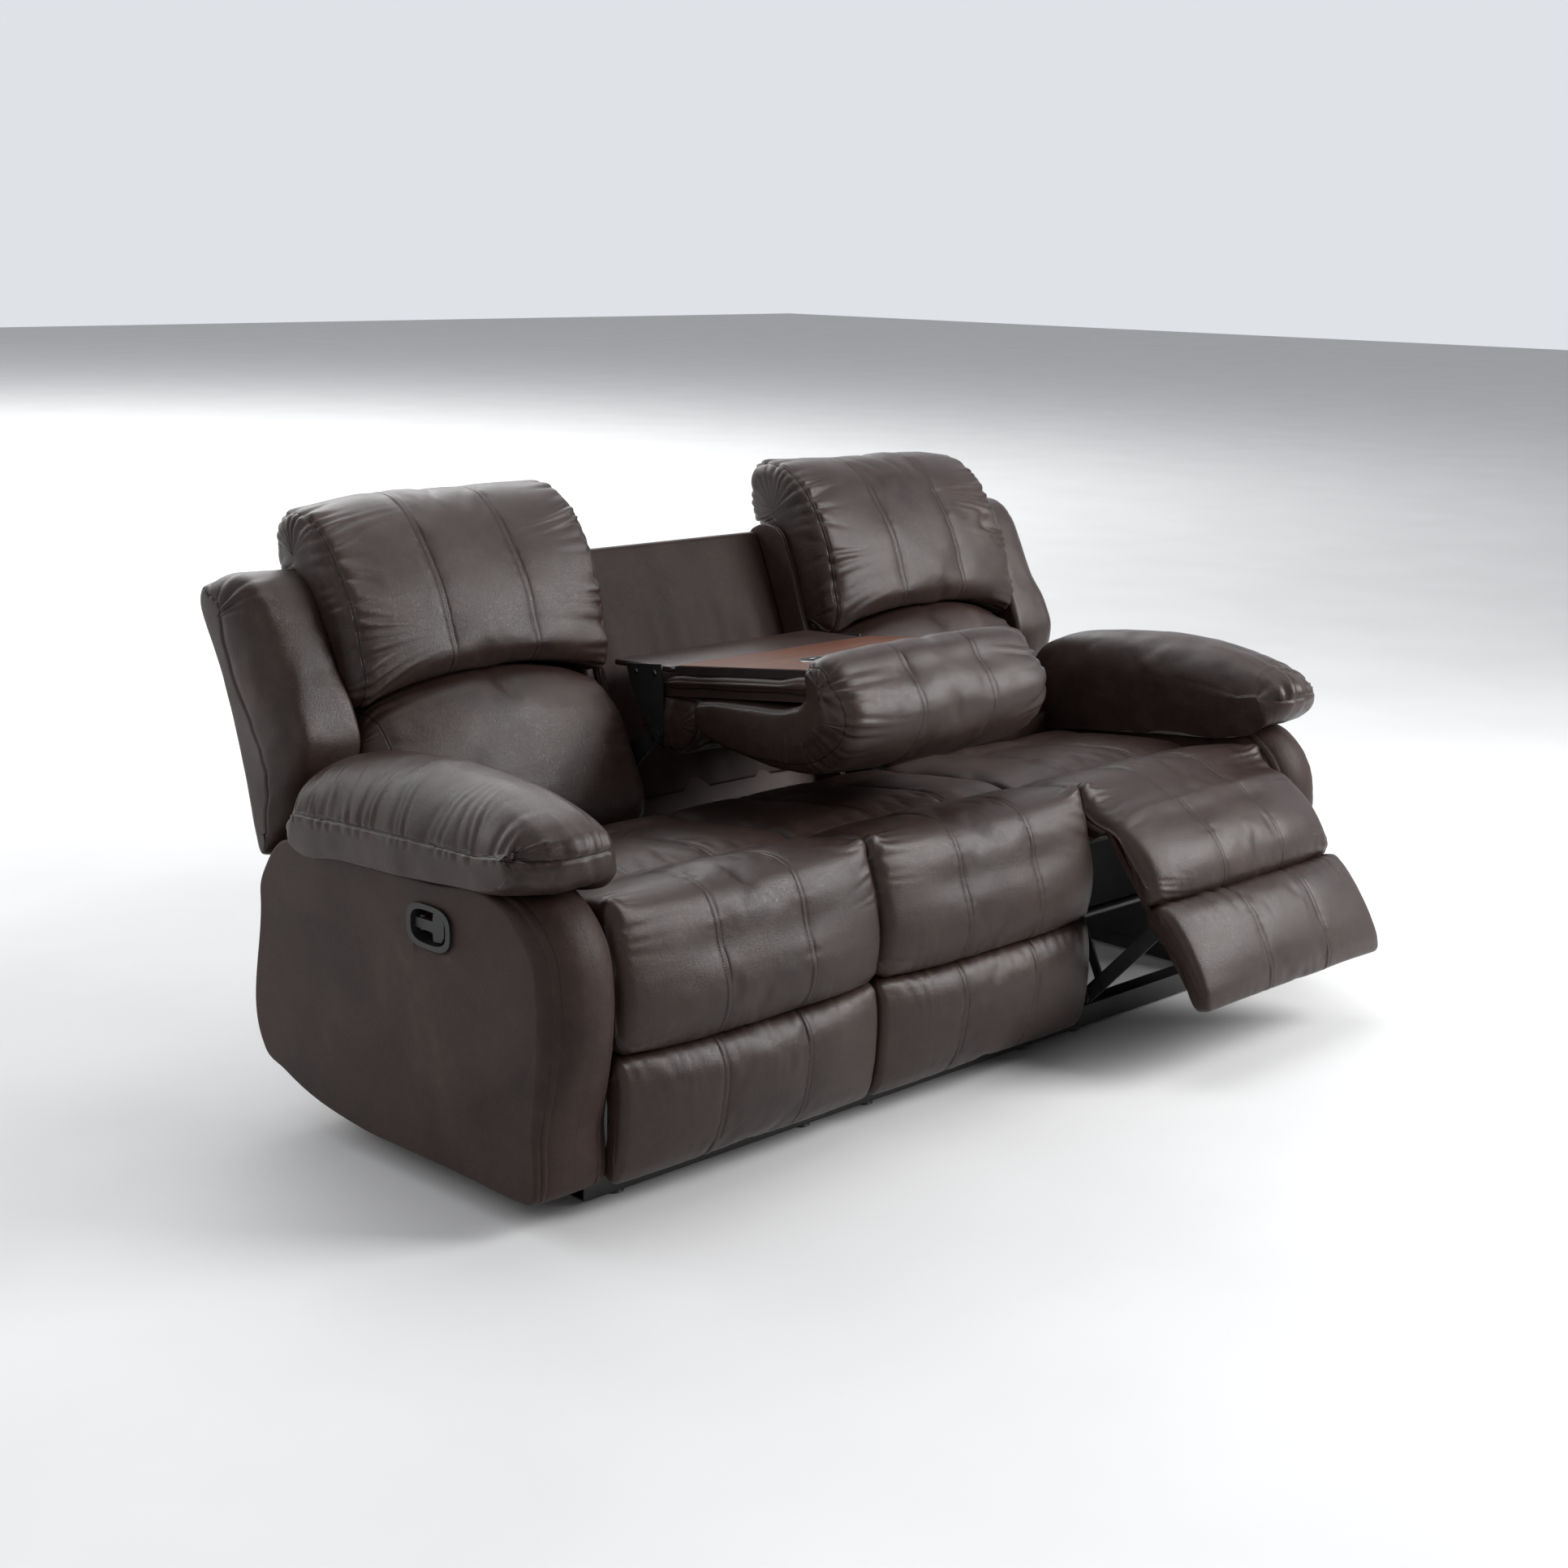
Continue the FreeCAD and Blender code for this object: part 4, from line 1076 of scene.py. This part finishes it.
def swing_pts(P, deg, wfun):
    """rotate points about FOOT_P by weight * deg, as a footrest does"""
    w = wfun(P)
    a = np.radians(deg) * w
    y = P[..., 1] - FOOT_P[0]
    z = P[..., 2] - FOOT_P[1]
    Q = P.copy()
    Q[..., 1] = FOOT_P[0] + y * np.cos(a) + z * np.sin(a)
    Q[..., 2] = FOOT_P[1] - y * np.sin(a) + z * np.cos(a)
    return Q


def w_line(s, e):
    s, e = np.array(s), np.array(e)

    def f(P):
        d = e - s
        t = np.clip(((P[..., 1:] - s) @ d) / (d @ d), 0, 1)
        return t * t * (3 - 2 * t)
    return f


BL_S, BL_E = (-0.005, 0.492), (-0.060, 0.448)      # blend line on a shut footrest
seat_list = [("left", True, 0.0), ("right", False, 38.0), ("centre", False, 0.0)]
for side, mir, deg in seat_list:
    if side == "centre":
        x0, x1 = -0.2875, 0.2875
        seams = (-0.0975, 0.0975)
    else:
        x0, x1 = 0.2900, 0.8705
        seams = (0.485, 0.675)
    seed = {"left": 3, "right": 5, "centre": 7}[side] * 10
    a = Soft(ST_E, ST_M, x0, x1, 0.026, 0.026, ST_CORE, seams=seams, power=3.2, caps=(0.9, 0.9), crown=0.001)
    a.cloth(rows=a.seam_rows(0.8), cols=[(a.at(4), 0.85), (a.at(14), 0.5)], fixed=a.S > a.at(15),
            slack=np.maximum(a.end_slack(0.012, 0.06), np.maximum(a.row_slack(a.at(4), 0.05) * 0.5, a.row_slack(a.at(14), 0.05) * 0.7)),
            amount=0.07, pressure=0.9, cap=0.010)
    h = a.panel_crown(0.0010) + a.undulate(0.0013, 6.0, seed) + a.undulate(0.0006, 24.0, seed + 1)
    h += a.gather_row(a.at(4), lam=0.034, L=0.035, amp=0.0022, seed=seed + 8, back=0.8, gap=0.0035)
    h += a.gather_row(a.at(14), lam=0.034, L=0.034, amp=0.0042, seed=seed + 9, back=0.0, dirn=-1)
    for sd_ in (1, -1):
        h += a.gather_end(sd_, lam=0.026, L=0.040, amp=0.0075, off=0.010, seed=seed + 14 + sd_, back=0.4,
                          srange=((a.at(7), a.at(10)), (a.at(13), a.at(15))), gap=0.0, line=False)
    for sg_ in (1, -1):
        e_ = (a.VR - a.V if sg_ > 0 else a.V) + 0.010
        h += 0.011 * np.exp(-(e_ / 0.016) ** 2) * np.exp(-((a.S - a.at(7, 0.6)) / 0.017) ** 2)
    a.push(h)
    a.push(a.seam_bands(0.0008, 0.013))
    if deg:
        a.P = swing_pts(a.P, deg, w_line(BL_S, BL_E))
    ob = a.build("seat_cover_" + side, M_SEAM, mir)
    if side == "centre":
        finish_piece(ob, "base", ("centre_seat_pad", "centre_front_upper_pad"))
    else:
        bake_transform(ob)
        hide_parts("seat_%s_pad" % side, "seat_%s_knee_roll" % side, "footrest_%s_upper_pad" % side)
    a = Soft(LP_E, LP_M, x0 + 0.002, x1 - 0.001, 0.014, 0.014, LP_CORE, seams=seams, power=3.2, caps=(0.9, 0.9), crown=0.001)
    a.cloth(rows=a.seam_rows(0.7), cols=[(a.at(1), 0.7)], fixed=a.S > a.at(9),
            slack=np.maximum(a.row_slack(a.at(1), 0.09), a.row_slack(a.at(8), 0.04) * 0.7), amount=0.13, pressure=1.4, cap=0.011)
    h = a.panel_crown(0.0008) + a.undulate(0.0016, 8.0, seed + 3)
    h += a.gather_row(a.at(1), lam=0.030, L=0.045, amp=0.0085 if deg else 0.0060, seed=seed + 12, back=0.0)
    h += a.gather_row(a.at(8), lam=0.036, L=0.025, amp=0.0025, seed=seed + 13, back=0.0, dirn=-1)
    a.push(h)
    a.push(a.seam_bands(0.0008, 0.013))
    if deg:
        a.P = swing_pts(a.P, deg, lambda P: np.ones(P.shape[:-1]))
    ob = a.build("lower_puff_" + side, M_SEAM, mir)
    if side == "centre":
        finish_piece(ob, "base", ("centre_front_lower_pad",))
    else:
        finish_piece(ob, "footrest_" + side, ("footrest_%s_lower_pad" % side,))

# =====================================================================
# arms
# =====================================================================
ARM = mm([(0, 50), (-17, 169), (-33, 314), (-30, 389), (-16, 448), (13, 479), (51, 508), (80, 518),
          (231, 511), (403, 504), (563, 499), (647, 494), (694, 445), (712, 411), (714, 375), (720, 122),
          (710, 108), (656, 89), (595, 71), (535, 59), (477, 52), (419, 47.5), (307, 49), (150, 50), (8, 49.5)])
ARM_M = mm([(-4, 50), (-36, 169), (-74, 314), (-80, 389), (-64, 457), (-28, 504), (28, 530), (78, 529),
            (231, 511), (403, 504), (563, 499), (647, 494), (694, 445), (712, 411), (714, 375), (720, 122),
            (710, 108), (656, 89), (595, 71), (535, 59), (477, 52), (419, 47.5), (307, 49), (150, 50), (8, 49.5)])
ARM_CORE = mm([(120, 250), (600, 250)])
PIL = mm([(588, 521), (603, 552), (600, 586), (580, 620), (522, 650), (430, 668), (300, 680), (190, 679), (84, 670), (20, 656),
          (-26, 640), (-50, 622), (-58, 598), (-53, 571), (-34, 549), (10, 534), (80, 529), (231, 517), (403, 508), (560, 503)])
PIL_IN = mm([(580, 470), (596, 530), (594, 580), (573, 610), (520, 636), (430, 652), (300, 663), (190, 662), (84, 653), (20, 640),
             (-8, 631), (-35, 616), (-48, 592), (-48, 561), (-33, 532), (6, 510), (84, 496), (231, 480), (403, 462), (545, 455)])
PIL_W = [0.3, 0.6, 0.8, 0.9, 0.9, 0.9, 0.9, 0.9, 0.9, 0.95, 1.0, 1.0, 0.95, 0.7, 0.4, 0.2, 0.1, 0.1, 0.1, 0.1]
PIL_CORE = mm([(540, 560), (300, 572), (60, 585), (0, 598)])


def superellipse(cy, cz, a, b, n=3.0, k=48):
    out = []
    for i in range(k):
        t = 2 * math.pi * i / k
        c, s = math.cos(t), math.sin(t)
        out.append((cy + a * math.copysign(abs(c) ** (2 / n), c), cz + b * math.copysign(abs(s) ** (2 / n), s)))
    return out


for side, mir in SIDES:
    a = Soft(ARM, ARM_M, 0.8730, 1.0160, 0.005, 0.006, ARM_CORE, power=2.6, step=0.012, pstep=0.0065, crown=0.0, caps=(0.97, 0.97),
             rrings=4, fine_cap=True, seams=(0.8895, 0.9995))
    h = a.undulate(0.0013, 7.0, 77 + mir)
    a.push(h)
    a.push(a.seam_bands(0.0008, 0.010))
    ob = a.build("arm_body_" + side, M_PANEL, mir)
    sg = -1 if mir else 1
    # opening for the handle's dish
    outline = superellipse(0.231, 0.439, 0.0500, 0.0310)
    vs = [(sg * 0.990, p[0] - YC, p[1]) for p in outline] + [(sg * 1.030, p[0] - YC, p[1]) for p in outline]
    k = len(outline)
    fs = [tuple(range(k)), tuple(range(2 * k - 1, k - 1, -1))] + [(i, k + i, k + (i + 1) % k, (i + 1) % k) for i in range(k)]
    cut = new_object("cutter", vs, fs, M_PANEL, smooth=False)
    bo = ob.modifiers.new("dish", "BOOLEAN")
    bo.object = cut
    bo.operation = "DIFFERENCE"
    bo.solver = "EXACT"
    dg = bpy.context.evaluated_depsgraph_get()
    me = bpy.data.meshes.new_from_object(ob.evaluated_get(dg), preserve_all_data_layers=True, depsgraph=dg)
    ob.modifiers.remove(bo)
    ob.data = me
    bpy.data.objects.remove(cut)
    finish_piece(ob, "base", ("arm_%s_outer_panel" % side, "arm_%s_cover" % side, "arm_%s_frame" % side))
    seed = 60 if mir else 80
    a = Soft(PIL_IN, PIL, 0.8585, 1.0550, 0.060, 0.108, PIL_CORE, power=6, pe1=PIL, iw0=PIL_W, iw1=PIL_W, caps=(0.85, 0.85), crown=0.002,
             rrings=18, fine_cap=True)
    ringk = a.nleft + a.nmid + 17
    a.VR = a.V[ringk][None, :]
    e_ = np.abs(a.V - a.VR)
    a.cloth(rows=[(ringk, 0.9)], cols=[(a.at(12), 0.7)], fixed=a.S > a.at(15),
            slack=np.maximum(1 - sstep(e_, 0.0, 0.09), a.row_slack(a.at(12), 0.07)) * (0.35 + 0.65 * sstep(a.S, a.at(6), a.at(9))),
            amount=0.12, pressure=1.6, cap=0.014)
    h = a.undulate(0.0036, 8.0, seed, (1, 0.6, 1)) + a.undulate(0.0016, 22.0, seed + 1)
    rowi = np.arange(a.P.shape[0])[:, None]
    nose = a.at(12)
    over = sstep(a.S, a.at(1) - 0.02, a.at(1) + 0.02) * (1 - sstep(a.S, nose - 0.004, nose + 0.002))
    front = sstep(a.S, a.at(7), a.at(10))
    h += over * a.gather_end(1, lam=0.027, L=0.062, amp=0.0150, off=0.0, seed=seed + 2, back=0.6, mask=over > 0.5) * (0.45 + 0.75 * front)
    across = (rowi >= a.nleft - 9) & (rowi <= ringk)
    h += across * a.gather_row(nose, lam=0.025, L=0.058, amp=0.0145, seed=seed + 3, back=0.7, gap=0.003, line=True, mask=across, dirn=-1)
    low = a.at(15)
    h += across * a.gather_row(low, lam=0.030, L=0.030, amp=0.0060, seed=seed + 4, back=0.0, gap=0.002, dirn=-1)
    a.push(h)
    ob = a.build("arm_pillow_" + side, M_SEAM, mir)
    finish_piece(ob, "base", ("arm_%s_pillow" % side,))

# =====================================================================
# console
# =====================================================================
CH_M = mm([(166, 770), (158, 786), (133, 797), (112, 791), (82, 756), (54, 728), (38, 692), (46, 650), (70, 616), (110, 588), (150, 574),
           (205, 569), (291, 574), (370, 584), (424, 604), (441, 634), (438, 664), (400, 676), (300, 684), (190, 698), (166, 708)])
CH_E = mm([(166, 764), (158, 778), (135, 786), (115, 781), (88, 750), (62, 724), (48, 692), (56, 655), (78, 624), (114, 597), (152, 583),
           (205, 578), (291, 582), (370, 592), (424, 610), (441, 638), (438, 665), (400, 676), (300, 684), (190, 698), (166, 708)])
CH_CORE = mm([(120, 740), (110, 680), (160, 640), (400, 640)])
CH_W = [0.3, 0.5, 0.8, 1, 1, 1, 1, 1, 1, 1, 0.9, 0.6, 0.4, 0.3, 0.3, 0.3, 0.3, 0.2, 0.2, 0.2, 0.2]
a = Soft(CH_E, CH_M, -0.277, 0.277, 0.048, 0.048, CH_CORE, seams=(-0.095, 0.095), power=2.6, caps=(0.9, 0.9), iw0=CH_W, iw1=CH_W)
a.cloth(rows=a.seam_rows(0.7) + [a.ring(-1, 0.046, 0.85), a.ring(1, 0.046, 0.85)], fixed=a.S > a.at(13), slack=a.end_slack(0.046, 0.085),
        amount=0.12, pressure=2.0, cap=0.014)
h = a.panel_crown(0.0014) + a.undulate(0.0022, 8.0, 5) + a.undulate(0.0014, 24.0, 6)
h += a.gather_end(1, lam=0.027, L=0.050, amp=0.0140, off=0.046, seed=51, back=0.5, srange=((a.at(0), a.at(11)),))
h += a.gather_end(-1, lam=0.027, L=0.050, amp=0.0140, off=0.046, seed=52, back=0.5, srange=((a.at(0), a.at(11)),))
a.push(h)
a.push(a.seam_bands(0.0010, 0.014))
ob = a.build("console_headrest", M_SEAM, False)
finish_piece(ob, "console", ("console_headrest_pad",))
CL = mm([(448, 664), (500, 670), (562, 664), (600, 646), (603, 606), (578, 570), (525, 556), (472, 570), (446, 606)])
CL_CORE = mm([(490, 615), (560, 615)])
a = Soft(CL, CL, -0.2600, 0.2600, 0.030, 0.030, CL_CORE, power=3, caps=(0.8, 0.8))
a.cloth(rows=[a.ring(-1, 0.02, 0.9), a.ring(1, 0.02, 0.9)], slack=a.end_slack(0.02, 0.07), amount=0.10, pressure=1.4, cap=0.010)
h = a.undulate(0.0035, 10.0, 8) + a.gather_end(1, lam=0.026, L=0.05, amp=0.009, off=0.02, seed=61, back=0.6) + \
    a.gather_end(-1, lam=0.026, L=0.05, amp=0.009, off=0.02, seed=62, back=0.6)
a.push(h)
ob = a.build("console_lumbar", M_SEAM, False)
finish_piece(ob, "console", ("console_lumbar_pad",))
SK = mm([tb(-350, -17.5), tb(-260, -17.2), tb(-160, -17.0), tb(-60, -17.2), tb(-6, -17.6), tb(14, -20), tb(28, -26), tb(31, -33), tb(24, -39), tb(6, -41), tb(-60, -41.5),
         tb(-160, -42), tb(-260, -41.5), tb(-342, -41), tb(-355, -37), tb(-356, -22)])
SK_CORE = mm([tb(-335, -29), tb(12, -31)])
for side, mir in SIDES:
    a = Soft(SK, SK, 0.2080, 0.2620, 0.004, 0.009, SK_CORE, power=6, caps=(0.9, 0.9), crown=0.002, rrings=7, step=0.006)
    h = a.undulate(0.0014, 14.0, 15 + mir)
    a.push(h)
    ob = a.build("console_side_pad_" + side, M_SEAM, mir)
    finish_piece(ob, "console")


def round_bar(p, q, t, k=5):
    """closed outline of a flat board from p to q with round edges"""
    p, q = np.array(p, float), np.array(q, float)
    d = (q - p) / np.linalg.norm(q - p)
    n = np.array([-d[1], d[0]])
    r = t / 2
    out = []
    L = np.linalg.norm(q - p)
    for i in range(17):
        out.append(p + n * r + d * (r + (L - 2 * r) * i / 16))
    for i in range(1, 2 * k):
        a_ = math.pi / 2 - math.pi * i / (2 * k)
        out.append(q - d * r + r * (math.cos(a_) * d + math.sin(a_) * n))
    for i in range(17):
        out.append(q - n * r - d * (r + (L - 2 * r) * i / 16))
    for i in range(1, 2 * k):
        a_ = -math.pi / 2 - math.pi * i / (2 * k)
        out.append(p + d * r + r * (math.cos(a_) * d + math.sin(a_) * n))
    return np.array(out) / 1000.0


LEAFP = round_bar((513.0, 713.8), (672.5, 706.6), 11.8)
a = Soft(LEAFP, LEAFP, -0.2580, 0.2580, 0.004, 0.004, mm([(520, 713.4), (665, 707.0)]), power=8, step=0.01, pstep=1.0, crown=0.0, caps=(0.9, 0.9), rrings=4)
a.push(a.undulate(0.0007, 12.0, 19))
ob = a.build("console_leaf_skin", M_LEATHER)
finish_piece(ob, "console_leaf", ("console_leaf",))

# veneer of the table with two round holes
bm = bmesh.new()


def loop(pts):
    vs_ = [bm.verts.new(p) for p in pts]
    return [bm.edges.new((vs_[i], vs_[(i + 1) % len(vs_)])) for i in range(len(vs_))]


def tpt(x, s, n):
    q = tb(s, n)
    return (x, q[0] / 1000 - YC, q[1] / 1000)


CUP_S = (265.0 - 500.0) / math.cos(TA)
edges = []
cr = 5.0
rect = []
for cx, cs, a0 in ((250.0, -4.0, 0), (-250.0, -4.0, 90), (-250.0, -325.0, 180), (250.0, -325.0, 270)):
    for k in range(5):
        q = math.radians(a0 + 90 * k / 4)
        rect.append(tpt((cx + cr * math.cos(q)) / 1000, cs + cr * math.sin(q), 0.15))
edges += loop(rect)
for sx in (-1, 1):
    edges += loop([tpt((sx * 105 + 52.0 * math.cos(2 * math.pi * k / 56)) / 1000, CUP_S + 52.0 * math.sin(2 * math.pi * k / 56), 0.15) for k in range(56)])
bmesh.ops.triangle_fill(bm, edges=edges, use_beauty=True)
ext = bmesh.ops.extrude_face_region(bm, geom=bm.faces[:])
upv_ = Vector((0, math.sin(TA), math.cos(TA))) * 0.0011
bmesh.ops.translate(bm, vec=upv_, verts=[e for e in ext["geom"] if isinstance(e, bmesh.types.BMVert)])
bmesh.ops.recalc_face_normals(bm, faces=bm.faces)
me = bpy.data.meshes.new("table_veneer")
bm.to_mesh(me)
bm.free()
me.materials.append(M_TABLE)
ob = bpy.data.objects.new("table_veneer", me)
bpy.context.scene.collection.objects.link(ob)
finish_piece(ob, "console")
for side, sx in (("right", 1), ("left", -1)):
    q = tb(CUP_S, 0)
    c = (sx * 0.105, q[0] / 1000 - YC, q[1] / 1000)
    prof = [(0.0412, -0.004), (0.0412, 0.0012), (0.0422, 0.0028), (0.0440, 0.0034), (0.0480, 0.0034), (0.0520, 0.0030), (0.0540, 0.0020), (0.0546, 0.0014),
            (0.0530, 0.0010), (0.0440, 0.0000), (0.0430, -0.004)]
    ob = ring_lathe("cup_rim_" + side, prof, c, (0, math.sin(TA), math.cos(TA)), M_CUP)
    finish_piece(ob, "console")
    for i, (py, pz, r) in enumerate(((0.550, 0.703, 0.0062), (0.543, 0.583, 0.0085), (0.600, 0.700, 0.0050))):
        ob = dome("console_rivet_%s_%d" % (side, i + 1), (sx * 0.2660, py - YC, pz), r, 0.0028, sx, M_PIN)
        finish_piece(ob, "console")

# =====================================================================
# floor
# =====================================================================
bpy.ops.mesh.primitive_plane_add(size=60, location=(0, 0, 0))
fl = bpy.context.object
fl.name = "floor"
fl.data.materials.append(floor_mat())

for o in list(NODES.values()):
    if not o.hide_render:
        bv = o.modifiers.new("edge", "BEVEL")
        bv.width = 0.0008
        bv.segments = 2
        bv.limit_method = "ANGLE"
        bv.angle_limit = math.radians(40)
